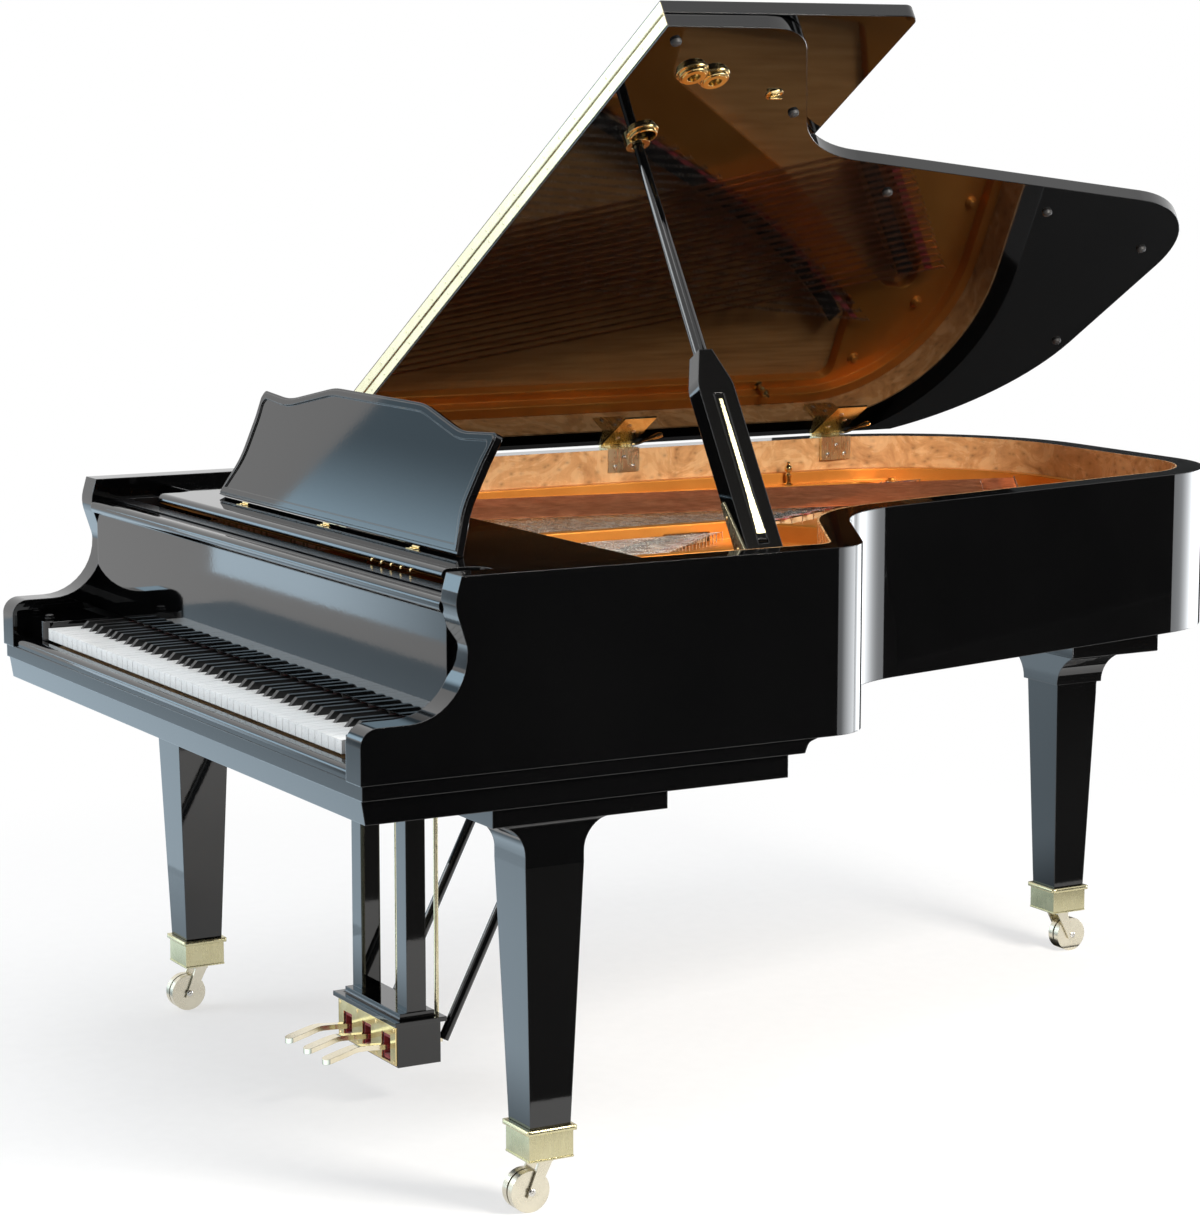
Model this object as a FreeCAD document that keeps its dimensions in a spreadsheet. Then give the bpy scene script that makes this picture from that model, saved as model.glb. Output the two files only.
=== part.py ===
import FreeCAD, Part
import Sketcher
import math
import os

# A grand piano with its lid propped open, in millimetres.
# +X is the treble side, +Y the tail and +Z up; the origin is on the floor under the middle.

DIMENSIONS = {
    # Case, in plan and in height
    "case_width": 1500,
    "case_length": 2140,
    "rim_top": 1000,
    "rim_bottom": 705,
    "rim_wall": 50,
    "veneer_wall": 3,
    "inner_rim_wall": 40,
    "cheek_from_front": 867,
    "cheek_radius": 90,
    "waist_from_spine": 1120,
    "waist_from_front": 1078,
    "waist_radius": 290,
    "tail_from_spine": 898,
    "tail_radius": 240,
    "bass_tail_radius": 390,
    # Arms beside the keys
    "arm_set_back": 165,
    "arm_bulge": 12,
    "arm_bulge_drop": 42,
    "arm_bulge_radius": 60,
    "arm_throat_back": 174,
    "arm_throat_drop": 107,
    "arm_throat_radius": 40,
    "arm_flat_rise": 84,
    "arm_cove_radius": 97,
    "arm_nose_radius": 28,
    # Keybed and its mouldings
    "bed_lower_height": 37,
    "bed_upper_height": 23,
    "bed_inset": 12,
    "bed_bevel": 12,
    "bed_depth": 736,
    "bed_cove": 26,
    "slip_depth": 27,
    "slip_rise": 19,
    "slip_set_back": 5,
    "block_rise": 53,
    "block_radius": 20,
    # Keys
    "key_block_width": 83,
    "key_set_back": 35,
    "key_top": 748,
    "key_height": 21,
    "key_length": 435,
    "key_head": 50,
    "key_gap": 1,
    "key_balance": 235,
    "sharp_width": 10,
    "sharp_length": 95,
    "sharp_rise": 12,
    "sharp_bevel": 14,
    "una_corda_room": 4.5,
    # Action
    "rail_depth": 20,
    "action_bracket": 8,
    "hammer_pivot_drop": 78,
    "hammer_pivot_back": 315,
    "hammer_swing": 22,
    "hammer_shank": 120,
    "hammer_shank_height": 6,
    "hammer_head_height": 76,
    "hammer_head_depth": 26,
    "hammer_head_width": 9,
    "hammer_rest_back": 64,
    "action_beside_keys": 37.5,
    "damper_back": 500,
    "damper_depth": 34,
    "damper_top": 949,
    "damper_width": 9,
    "damper_wire": 1.6,
    "damper_tray_top": 830,
    "damper_tray_height": 14,
    # Strung back
    "soundboard_top": 888,
    "soundboard_wall": 9,
    "rib_width": 24,
    "rib_height": 22,
    "string_level": 926,
    "bass_level": 932,
    "plain_wire": 1,
    "wound_wire": 3.4,
    "hitch_length": 85,
    "bridge_width": 30,
    "bridge_room": 8,
    "plate_top": 912,
    "plate_wall": 14,
    "plate_edge_width": 22,
    "plate_edge_rise": 24,
    "plate_front": 220,
    "web_depth": 218,
    "strut_width": 22,
    "strut_rise": 32,
    "plate_corner": 28,
    "pin_block_height": 38,
    "tuning_pin": 1.5,
    "tuning_pin_rise": 24,
    "tuning_row": 26,
    "tuning_back": 355,
    "hitch_pin": 0.8,
    # Timbers under the strung back
    "brace_width": 70,
    "belly_from_front": 570,
    "treble_belly_from_front": 508,
    "belly_depth": 60,
    "stretcher_depth": 30,
    "stretcher_from_front": 220,
    "ledge_width": 20,
    # Fallboard, music shelf and desk
    "fall_from_front": 165,
    "fall_wall": 18,
    "fall_bottom": 764,
    "fall_top": 962,
    "fall_rail": 24,
    "fall_rail_stand": 12,
    "shelf_from_front": 240,
    "shelf_depth": 315,
    "shelf_top": 984,
    "shelf_wall": 20,
    "shelf_scoop": 55,
    "shelf_rail": 24,
    "desk_from_front": 315,
    "desk_wall": 12,
    "desk_border": 2.5,
    "desk_height": 200,
    "desk_half_width": 462,
    "desk_lean": 24.2,
    # Lid and props
    "lid_angle": 31.6,
    "lid_wall": 22,
    "lid_overhang": 22,
    "lid_gap": 5,
    "lid_hinge_inset": 20,
    "lid_knuckle": 4,
    "lid_leaf": 2,
    "lid_hinge_length": 70,
    "lid_hinge_reach": 45,
    "lid_strap_reach": 120,
    "lid_hinge_near": 1265,
    "lid_hinge_from_tail": 358,
    "lid_hinge_pack": 9,
    "flap_line": 627,
    "flap_depth": 477,
    "flap_gap": 3,
    "flap_leaf": 1.5,
    "flap_knuckle": 2.2,
    "prop_from_front": 735,
    "prop_inset": 33,
    "prop_pivot_drop": 35,
    "prop_blade_width": 65,
    "prop_blade_wall": 34,
    "prop_blade_length": 330,
    "prop_shoulder": 60,
    "prop_stick": 12,
    "prop_pin": 5,
    "short_prop_width": 18,
    "short_prop_wall": 15,
    "short_prop_length": 260,
    "cup_radius": 20,
    "cup_height": 12,
    # Legs and casters
    "leg_from_side": 78,
    "leg_from_front": 333,
    "rear_leg_from_spine": 525,
    "rear_leg_from_tail": 123,
    "leg_crown_height": 28,
    "leg_crown_front": 110,
    "leg_crown_rear": 190,
    "leg_crown_inner": 130,
    "leg_crown_outer": 60,
    "leg_cove": 70,
    "leg_neck": 100,
    "leg_foot": 70,
    "ferrule_top": 137,
    "ferrule_bottom": 86,
    "ferrule_wall": 3,
    "ferrule_bead": 4,
    "wheel_radius": 33,
    "wheel_width": 13,
    "wheel_parting": 4,
    "fork_wall": 4,
    "fork_plate": 8,
    "fork_trail": 24,
    "axle_radius": 4,
    "stem_radius": 9,
    "stem_length": 30,
    # Pedal lyre
    "lyre_from_front": 405,
    "lyre_spread": 87,
    "lyre_post": 36,
    "lyre_box_width": 230,
    "lyre_box_depth": 80,
    "lyre_box_bottom": 75,
    "lyre_box_height": 72,
    "lyre_cap_height": 18,
    "lyre_cap_overhang": 8,
    "lyre_head_height": 25,
    "lyre_plate_wall": 3,
    "pedal_spacing": 75,
    "pedal_slot_width": 34,
    "pedal_slot_height": 46,
    "pedal_width": 24,
    "pedal_wall": 9,
    "pedal_reach": 120,
    "pedal_toe": 30,
    "pedal_pivot": 4,
    "pedal_rod": 4,
    "brace_rod": 9,
    "brace_rod_from_rear": 21,
    # Shared allowances
    "clearance": 0.5,
    "running_fit": 0.05,
    "cut_overrun": 150,
}

doc = FreeCAD.newDocument("grand_piano")
sheet = doc.addObject("Spreadsheet::Sheet", "dims")
for row, (alias, number) in enumerate(DIMENSIONS.items(), start=1):
    sheet.set(f"A{row}", alias)
    sheet.set(f"B{row}", str(number))
    sheet.setAlias(f"B{row}", alias)
doc.recompute()


class Size:
    """A length that knows its value and the sheet expression that gives it."""

    def __init__(self, value, text):
        self.value = float(value)
        self.text = text

    def __add__(self, other):
        other = as_size(other)
        return Size(self.value + other.value, f"({self.text} + {other.text})")

    def __sub__(self, other):
        other = as_size(other)
        return Size(self.value - other.value, f"({self.text} - {other.text})")

    def __mul__(self, other):
        other = as_size(other)
        return Size(self.value * other.value, f"({self.text} * {other.text})")

    def __truediv__(self, number):
        return Size(self.value / number, f"({self.text} / ({number}))")

    def __neg__(self):
        return Size(-self.value, f"(-{self.text})")


def as_size(value):
    return value if isinstance(value, Size) else Size(value, f"({float(value)})")


class Sheet:
    """Gives each aliased cell of the spreadsheet as a Size."""

    def __getattr__(self, alias):
        return Size(sheet.get(alias), f"dims.{alias}")


D = Sheet()
ZERO = as_size(0)


# Drawing helpers

def bind(obj, name, size):
    obj.setExpression(name, as_size(size).text)


def place(obj, x=ZERO, y=ZERO, z=ZERO):
    for axis, size in zip("xyz", (x, y, z)):
        bind(obj, f"Placement.Base.{axis}", size)
    return obj


def vec(x=0.0, y=0.0, z=0.0):
    return FreeCAD.Vector(*(as_size(part).value for part in (x, y, z)))


def corner_arc(before, corner, after, radius):
    """Tangent points, centre and turn of the arc that rounds a corner."""
    back = (before - corner).normalize()
    ahead = (after - corner).normalize()
    half_angle = back.getAngle(ahead) / 2
    reach = radius / math.tan(half_angle)
    middle = (back + ahead).normalize()
    centre = corner + middle * (radius / math.sin(half_angle))
    turn = back.cross(ahead).z
    return corner + back * reach, corner + ahead * reach, centre, turn


def hold_point(sketch, geo, pos, x, y):
    """Fix a sketch point at the sheet's coordinates."""
    for kind, size, axis in (("DistanceX", x, -2), ("DistanceY", y, -1)):
        if size.value == 0:
            sketch.addConstraint(Sketcher.Constraint("PointOnObject", geo, pos, axis))
        else:
            index = sketch.addConstraint(Sketcher.Constraint(kind, -1, 1, geo, pos, size.value))
            bind(sketch, f"Constraints[{index}]", size)


def draw_outline(sketch, corners):
    """Closed outline through corners (x, y) or (x, y, radius), held by the sheet."""
    corners = [(as_size(c[0]), as_size(c[1]), c[2] if len(c) > 2 else None) for c in corners]
    points = [vec(x, y) for x, y, _ in corners]
    count = len(corners)
    rounds = []
    for i, (_, _, radius) in enumerate(corners):
        arc = None
        if radius is not None:
            arc = corner_arc(points[i - 1], points[i], points[(i + 1) % count], radius.value)
        rounds.append(arc)
    lines = []
    for i in range(count):
        after = (i + 1) % count
        start = rounds[i][1] if rounds[i] else points[i]
        end = rounds[after][0] if rounds[after] else points[after]
        lines.append(sketch.addGeometry(Part.LineSegment(start, end)))
    for i, (x, y, radius) in enumerate(corners):
        before, after = lines[i - 1], lines[i]
        if rounds[i] is None:
            sketch.addConstraint(Sketcher.Constraint("Coincident", before, 2, after, 1))
            hold_point(sketch, after, 1, x, y)
            continue
        start, end, centre, turn = rounds[i]
        first, last = (start, end) if turn < 0 else (end, start)
        circle = Part.Circle(centre, vec(z=1), radius.value)
        angles = [math.atan2((p - centre).y, (p - centre).x) for p in (first, last)]
        arc = sketch.addGeometry(Part.ArcOfCircle(circle, *angles))
        ends = (1, 2) if turn < 0 else (2, 1)
        sketch.addConstraint(Sketcher.Constraint("Tangent", before, 2, arc, ends[0]))
        sketch.addConstraint(Sketcher.Constraint("Tangent", arc, ends[1], after, 1))
        index = sketch.addConstraint(Sketcher.Constraint("Radius", arc, radius.value))
        bind(sketch, f"Constraints[{index}]", radius)
        mark = sketch.addGeometry(Part.Point(points[i]), True)
        sketch.addConstraint(Sketcher.Constraint("PointOnObject", mark, 1, before))
        sketch.addConstraint(Sketcher.Constraint("PointOnObject", mark, 1, after))
        hold_point(sketch, mark, 1, x, y)


def draw_circle(sketch, x, y, radius):
    geo = sketch.addGeometry(Part.Circle(vec(x, y), vec(z=1), radius.value))
    hold_point(sketch, geo, 3, as_size(x), as_size(y))
    index = sketch.addConstraint(Sketcher.Constraint("Radius", geo, radius.value))
    bind(sketch, f"Constraints[{index}]", radius)


def pad(name, plane, low, high, *outlines, circles=()):
    """A body padded from outlines on XY, XZ or YZ, from low to high across that plane."""
    body = doc.addObject("PartDesign::Body", name)
    sketch = body.newObject("Sketcher::SketchObject", f"{name}_sketch")
    origin = [f for f in body.Origin.OriginFeatures if f.Role == f"{plane}_Plane"][0]
    sketch.AttachmentSupport = [(origin, "")]
    sketch.MapMode = "FlatFace"
    low, high = as_size(low), as_size(high)
    bind(sketch, "AttachmentOffset.Base.z", -high if plane == "XZ" else low)
    for corners in outlines:
        draw_outline(sketch, corners)
    for x, y, radius in circles:
        draw_circle(sketch, x, y, radius)
    feature = body.newObject("PartDesign::Pad", f"{name}_pad")
    feature.Profile = sketch
    bind(feature, "Length", high - low)
    return body


def turned(name, profile):
    """A body revolved about Z from an outline in radius and height."""
    body = doc.addObject("PartDesign::Body", name)
    sketch = body.newObject("Sketcher::SketchObject", f"{name}_sketch")
    origin = [f for f in body.Origin.OriginFeatures if f.Role == "XZ_Plane"][0]
    sketch.AttachmentSupport = [(origin, "")]
    sketch.MapMode = "FlatFace"
    draw_outline(sketch, profile)
    feature = body.newObject("PartDesign::Revolution", f"{name}_revolution")
    feature.Profile = sketch
    feature.ReferenceAxis = (sketch, ["V_Axis"])
    return body


def box(name, x, y, z):
    solid = doc.addObject("Part::Box", name)
    for prop, axis, (low, high) in (("Length", "x", x), ("Width", "y", y), ("Height", "z", z)):
        bind(solid, prop, as_size(high) - low)
        bind(solid, f"Placement.Base.{axis}", low)
    return solid


def cylinder(name, radius, length, at, axis="z"):
    solid = doc.addObject("Part::Cylinder", name)
    bind(solid, "Radius", radius)
    bind(solid, "Height", length)
    quarter_turns = {"x": (vec(y=1), 90), "y": (vec(x=1), -90), "z": (vec(z=1), 0)}
    solid.Placement = FreeCAD.Placement(vec(*at), FreeCAD.Rotation(*quarter_turns[axis]))
    return place(solid, *at)


def fuse(name, *shapes):
    result = doc.addObject("Part::MultiFuse", name)
    result.Shapes = list(shapes)
    return result


def cut(name, base, *tools):
    result = doc.addObject("Part::Cut", name)
    result.Base = base
    result.Tool = tools[0] if len(tools) == 1 else fuse(f"{name}_tools", *tools)
    return result


def common(name, first, second):
    result = doc.addObject("Part::Common", name)
    result.Base = first
    result.Tool = second
    return result


def group(name, *shapes):
    result = doc.addObject("Part::Compound", name)
    result.Links = list(shapes)
    return result


def feature(name, solids):
    """A node of separate solids made in a loop."""
    result = doc.addObject("Part::Feature", name)
    result.Shape = Part.makeCompound(solids)
    return result


def block(x, y, z):
    """A plain block between low and high values, for solids made in a loop."""
    low = vec(x[0], y[0], z[0])
    high = vec(x[1], y[1], z[1])
    return Part.makeBox(high.x - low.x, high.y - low.y, high.z - low.z, low)


NODES = []


def node(obj, label=None):
    """Mark an object as a finished sub-part."""
    obj.Label = label or obj.Name
    NODES.append(obj)
    return obj


def mirror_x(corners):
    """The other half of a symmetric outline, in drawing order."""
    return [(-as_size(c[0]), *c[1:]) for c in reversed(corners)]


# Main lines of the case

half = D.case_width / 2
front = -D.case_length / 2
tail = D.case_length / 2 - D.lid_overhang
inside = half - D.rim_wall
bed_step = D.rim_bottom - D.bed_upper_height
bed_bottom = bed_step - D.bed_lower_height
bed_rear = front + D.bed_depth
keyboard_width = (inside - D.key_block_width - D.una_corda_room) * 2
key_front = front + D.key_set_back
key_bottom = D.key_top - D.key_height
soundboard_bottom = D.soundboard_top - D.soundboard_wall
plate_bottom = D.plate_top - D.plate_wall
lid_closed = D.rim_top + D.lid_gap
lid_top = lid_closed + D.lid_wall
flap_y = front + D.flap_line


def plan(x_share, y_share):
    """A place in plan, as shares of the case's half width and half length."""
    return half * x_share, D.case_length / 2 * y_share


case_outline = doc.addObject("Sketcher::SketchObject", "case_outline")
draw_outline(case_outline, [
    (half, front - D.cut_overrun),
    (half, front + D.cheek_from_front, D.cheek_radius),
    (D.waist_from_spine - half, front + D.waist_from_front, D.waist_radius),
    (D.tail_from_spine - half, tail, D.tail_radius),
    (-half, tail, D.bass_tail_radius),
    (-half, front - D.cut_overrun),
])


def slab(name, outset, low, high):
    """The case outline grown or shrunk by outset and extruded from low to high."""
    base = case_outline
    if as_size(outset).value != 0:
        base = doc.addObject("Part::Offset2D", f"{name}_outline")
        base.Source = case_outline
        base.Join = "Intersection"
        base.Value = outset.value
        bind(base, "Value", outset)
    solid = doc.addObject("Part::Extrusion", name)
    solid.Base = base
    solid.DirMode = "Custom"
    solid.Dir = vec(z=1)
    solid.Solid = True
    bind(solid, "LengthFwd", as_size(high) - low)
    return place(solid, z=low)


def ring(name, outer, inner, low, high):
    """A wall that follows the case outline between two outsets."""
    hollow = slab(f"{name}_hollow", inner, low - D.cut_overrun, high + D.cut_overrun)
    return cut(name, slab(f"{name}_outer", outer, low, high), hollow)


def before(name, y):
    """Everything in front of y, as a cutting block."""
    reach = half + D.cut_overrun
    far = front - D.cut_overrun * 2
    return box(name, (-reach, reach), (far, y), (-D.cut_overrun, D.rim_top + D.cut_overrun))


def above(angle_deg):
    """Placement of what turns with the lid: about the hinge axis, raised by the angle."""
    axis_point = vec(hinge_x, ZERO, hinge_z)
    return FreeCAD.Placement(vec(), FreeCAD.Rotation(vec(y=1), -angle_deg), axis_point)


hinge_x = -half + D.lid_hinge_inset
hinge_z = D.rim_top + D.lid_knuckle + D.clearance
lid_spine = hinge_x + D.lid_knuckle + D.clearance
lid_treble = half + D.lid_overhang


# Rim, its veneered lining and the inner rim that carries the soundboard

def make_rim():
    arm_flat = D.rim_bottom + D.arm_flat_rise
    throat = front + D.arm_throat_back
    ahead = front - D.cut_overrun * 2
    high = D.rim_top + D.cut_overrun
    low = D.rim_bottom - D.cut_overrun
    arm_cut = pad("arm_cut", "YZ", -half - D.cut_overrun, half + D.cut_overrun, [
        (ahead, high),
        (front + D.arm_set_back, high),
        (front + D.arm_set_back, D.rim_top),
        (front + D.arm_set_back - D.arm_bulge, D.rim_top - D.arm_bulge_drop, D.arm_bulge_radius),
        (throat, D.rim_top - D.arm_throat_drop, D.arm_throat_radius),
        (throat, arm_flat, D.arm_cove_radius),
        (front, arm_flat, D.arm_nose_radius),
        (front, low),
        (ahead, low),
    ])
    blank = ring("rim_blank", ZERO, -D.rim_wall, D.rim_bottom, D.rim_top)
    node(cut("outer_rim", blank, arm_cut))
    belly = front + D.belly_from_front
    lining = ring("lining_blank", -D.rim_wall, -D.rim_wall - D.veneer_wall, D.soundboard_top, D.rim_top)
    node(cut("rim_veneer", lining, before("lining_front", belly)))
    inner = ring("inner_blank", -D.rim_wall, -D.rim_wall - D.inner_rim_wall,
                 D.rim_bottom, soundboard_bottom)
    node(cut("inner_rim", inner, before("inner_front", belly + D.belly_depth)))


SLIP_ROUND_SHARE = 0.45


def make_keybed():
    lower_half = half - D.bed_inset
    upper_half = half - D.bed_inset / 3
    rear = bed_rear
    lower = pad("bed_lower", "YZ", -lower_half, lower_half, [
        (front + D.bed_bevel, bed_bottom),
        (rear, bed_bottom),
        (rear, bed_step),
        (front + D.bed_bevel / 2, bed_step),
    ])
    upper = pad("bed_upper", "YZ", -upper_half, upper_half, [
        (front + D.bed_bevel / 3, bed_step),
        (rear + D.bed_cove, bed_step),
        (rear + D.bed_cove + D.bed_cove / 4, D.rim_bottom - D.bed_cove / 4, D.bed_cove / 2),
        (rear + D.bed_cove * 2, D.rim_bottom),
        (front + D.bed_bevel / 3, D.rim_bottom),
    ])
    node(fuse("keybed", lower, upper))
    slip_front = front + D.slip_set_back
    slip_rear = slip_front + D.slip_depth
    slip_top = D.rim_bottom + D.slip_rise
    slip_round = D.slip_depth * SLIP_ROUND_SHARE
    node(pad("key_slip", "YZ", -inside, inside, [
        (slip_front, D.rim_bottom),
        (slip_rear, D.rim_bottom),
        (slip_rear, slip_top, slip_round / 3),
        (slip_front, slip_top, slip_round),
    ]))
    block_inner = inside - D.key_block_width
    block_front = slip_rear
    block_rear = front + D.fall_from_front - D.fall_rail_stand - D.clearance * 4
    blocks = []
    for name, side in (("block_treble", 1), ("block_bass", -1)):
        outline = [
            (block_inner, block_front, D.block_radius),
            (inside, block_front),
            (inside, block_rear),
            (block_inner, block_rear),
        ]
        if side < 0:
            outline = mirror_x(outline)
        blocks.append(pad(name, "XY", D.rim_bottom, D.rim_bottom + D.block_rise, outline))
    node(group("key_blocks", *blocks))


# Soundboard, bridges, iron plate and pin block

LONG_BRIDGE_SHARES = [(0.84, -0.509), (0.46, -0.449), (0.027, -0.103), (-0.36, 0.3925), (-0.667, 0.645)]
BASS_BRIDGE_SHARES = [(-0.16, 0.598), (-0.36, 0.694), (-0.533, 0.776)]
TREBLE_BELLY_SHARE = 0.44
RIB_SHARES = [-0.25, -0.08, 0.09, 0.26, 0.43, 0.6]
PLATE_OPENING_SHARES = {
    "tenor": [(-0.873, -0.59), (-0.021, -0.59), (-0.045, 0.005), (-0.327, 0.4),
              (-0.627, 0.687), (-0.873, 0.687)],
    "bass": [(0.04, 0.159), (0.2, 0.159), (0.127, 0.56), (-0.093, 0.621), (-0.513, 0.815),
             (-0.6, 0.815), (-0.587, 0.748), (-0.24, 0.458)],
    "middle": [(0.021, -0.59), (0.413, -0.59), (0.413, -0.365), (0.021, -0.055)],
    "treble": [(0.447, -0.59), (0.853, -0.59), (0.853, -0.468), (0.447, -0.397)],
}
PLATE_HOLE_SHARES = [(0.6, -0.33, 0.06), (0.42, -0.22, 0.065), (0.3, -0.06, 0.06), (0.32, 0.06, 0.05)]
STRUT_SHARES = [
    ((0.0, -0.78), (-0.012, 0.06)),
    ((0.43, -0.78), (0.43, -0.14)),
    ((0.1, 0.06), (0.24, 0.12)),
]


def ribbon(points, width, low, high):
    """An upright band of one width along a smooth line through the points."""
    sides = ([], [])
    for i, point in enumerate(points):
        ahead = points[min(i + 1, len(points) - 1)] - points[max(i - 1, 0)]
        across = FreeCAD.Vector(-ahead.y, ahead.x, 0).normalize() * (width / 2)
        sides[0].append(point + across)
        sides[1].append(point - across)
    edges = []
    for side in sides:
        curve = Part.BSplineCurve()
        curve.interpolate(side)
        edges.append(curve.toShape())
    edges.append(Part.makeLine(sides[0][0], sides[1][0]))
    edges.append(Part.makeLine(sides[0][-1], sides[1][-1]))
    face = Part.Face(Part.Wire(Part.__sortEdges__(edges)))
    face.translate(FreeCAD.Vector(0, 0, low))
    return face.extrude(FreeCAD.Vector(0, 0, high - low))


def make_ribs():
    """Bars glued under the soundboard, across its grain."""
    room = slab("rib_room", -D.rim_wall - D.inner_rim_wall - D.clearance,
                soundboard_bottom - D.rib_height, soundboard_bottom)
    ribs = []
    for i, share in enumerate(RIB_SHARES):
        y = plan(0, share)[1]
        bar = box(f"rib_bar_{i}", (-half, half), (y, y + D.rib_width),
                  (soundboard_bottom - D.rib_height, soundboard_bottom))
        ribs.append(common(f"rib_{i}", bar, room))
    return ribs


def make_soundboard():
    belly = front + D.belly_from_front
    board = slab("board_blank", -D.rim_wall, soundboard_bottom, D.soundboard_top)
    bass_front = box("board_bass_front", (-half, plan(TREBLE_BELLY_SHARE, 0)[0]),
                     (front, belly), (ZERO, D.rim_top))
    treble_front = before("board_front", front + D.treble_belly_from_front)
    board = cut("board_trimmed", board, bass_front, treble_front)
    node(fuse("soundboard", board, *make_ribs()))
    width = D.bridge_width.value
    low = D.soundboard_top.value
    clear = D.clearance.value / 2
    bridges = []
    for shares, level in ((LONG_BRIDGE_SHARES, D.string_level), (BASS_BRIDGE_SHARES, D.bass_level)):
        points = [vec(*plan(*share)) for share in shares]
        bridges.append(ribbon(points, width, low, level.value - clear))
    node(feature("bridges", bridges))


def bridge_channel():
    """The way through the plate and under its bars that the long bridge stands in."""
    points = [vec(*plan(*share)) for share in LONG_BRIDGE_SHARES]
    width = (D.bridge_width + D.bridge_room * 2).value
    low = (D.soundboard_top - D.plate_wall).value
    high = (D.string_level + D.plain_wire + D.clearance * 2).value
    return feature("bridge_channel", [ribbon(points, width, low, high)])


def make_plate():
    inset = D.rim_wall + D.veneer_wall + D.clearance
    blank = slab("plate_blank", -inset, D.soundboard_top, D.plate_top)
    openings = []
    for name, shares in PLATE_OPENING_SHARES.items():
        corners = [(*plan(*share), D.plate_corner) for share in shares]
        openings.append(pad(f"{name}_opening", "XY", D.soundboard_top - D.cut_overrun,
                            D.plate_top + D.cut_overrun, corners))
    holes = [(*plan(x, y), half * r) for x, y, r in PLATE_HOLE_SHARES]
    for i, (x, y, radius) in enumerate(holes):
        openings.append(cylinder(f"plate_hole_{i}", radius, D.cut_overrun * 2,
                                 (x, y, D.plate_top - D.cut_overrun)))
    web_room = box("pin_block_room", (-half, half), (front, front + D.plate_front + D.web_depth),
                   (D.soundboard_top - D.cut_overrun, plate_bottom))
    plate = cut("plate_web", blank, before("plate_front_cut", front + D.plate_front), web_room, *openings)
    edge = ring("plate_edge_blank", -inset, -inset - D.plate_edge_width, D.plate_top,
                D.plate_top + D.plate_edge_rise)
    edge = cut("plate_edge", edge, before("plate_edge_front", front + D.belly_from_front + D.belly_depth))
    struts = []
    for i, (start, end) in enumerate(STRUT_SHARES):
        struts.append(strut(f"strut_{i}", plan(*start), plan(*end)))
    blank = fuse("plate_solid", plate, edge, *struts)
    node(cut("iron_plate", blank, bridge_channel()))
    block_low = plate_bottom - D.pin_block_height
    wall = inside - D.clearance
    node(box("pin_block", (-wall, wall), (front + D.plate_front, front + D.plate_front + D.web_depth),
             (block_low, plate_bottom)))


def strut(name, start, end):
    """A bar of the plate that stands on its web between two places in plan."""
    low = vec(*start)
    high = vec(*end)
    bar = doc.addObject("Part::Box", name)
    length = (high - low).Length
    bar.Length = length
    bind(bar, "Width", D.strut_width)
    bind(bar, "Height", D.strut_rise)
    heading = math.degrees(math.atan2(high.y - low.y, high.x - low.x))
    across = FreeCAD.Rotation(vec(z=1), heading)
    corner = low - across.multVec(FreeCAD.Vector(0, D.strut_width.value / 2, 0))
    corner.z = D.plate_top.value
    bar.Placement = FreeCAD.Placement(corner, across)
    return bar


NOTE_COUNT = 88

# Scale of the strings: each section's first and last note and its span across the hammers

SECTION_SPAN_SHARES = {
    "bass": (1, 20, -0.853, -0.497),
    "tenor": (21, 43, -0.433, -0.037),
    "middle": (44, 66, 0.037, 0.4),
    "treble": (67, 88, 0.467, 0.835),
}
BRIDGE_LEAN_SHARES = {"tenor": (-0.233, -0.03), "middle": (-0.02, -0.005), "treble": (0.0, 0.0)}


def section_of(note):
    """A note's section, how far along it the note lies and the section's span."""
    for name, (first, last, low, high) in SECTION_SPAN_SHARES.items():
        if first <= note <= last:
            return name, (note - first) / (last - first), (low, high)


def is_bass(note):
    return section_of(note)[0] == "bass"


def note_x(note):
    """Where a note's string crosses the hammers."""
    _, along, (low, high) = section_of(note)
    return half.value * (low + (high - low) * along)


def note_step(note):
    """How far apart the strings of neighbouring notes of a section are."""
    first, last, low, high = SECTION_SPAN_SHARES[section_of(note)[0]]
    return half.value * (high - low) / (last - first)


def bridge_place(note):
    """Where a note's string crosses its bridge."""
    name, along, _ = section_of(note)
    if is_bass(note):
        near, far = (vec(*plan(*BASS_BRIDGE_SHARES[i])) for i in (0, -1))
        return far + (near - far) * along
    first, last = BRIDGE_LEAN_SHARES[name]
    x = note_x(note) + half.value * (first + (last - first) * along)
    line = [vec(*plan(*share)) for share in LONG_BRIDGE_SHARES]
    for right, left in zip(line, line[1:]):
        if left.x <= x <= right.x:
            return right + (left - right) * ((right.x - x) / (right.x - left.x))
    return vec(x, line[0].y)


def string_run(note):
    """Start and end of a note's string, from its tuning pin to its hitch pin."""
    strike = (key_front + D.key_length).value
    at_bridge = bridge_place(note)
    at_strike = vec(note_x(note), strike)
    heading = (at_bridge - at_strike).normalize()
    pin_y = (front + D.tuning_back).value + note % len(SECTION_SPAN_SHARES) * D.tuning_row.value
    start = at_strike + heading * ((pin_y - strike) / heading.y)
    return start, at_bridge + heading * D.hitch_length.value


def wire(start, end, size, level):
    """A string as a slim bar lying with its underside at the level."""
    run = end - start
    bar = Part.makeBox(size, run.Length, size)
    bar.translate(vec(-size / 2))
    bar.rotate(vec(), vec(z=1), math.degrees(math.atan2(-run.x, run.y)))
    bar.translate(FreeCAD.Vector(start.x, start.y, level))
    return bar


def square_pin(at, radius, low, high):
    return block((at.x - radius, at.x + radius), (at.y - radius, at.y + radius), (low, high))


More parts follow.
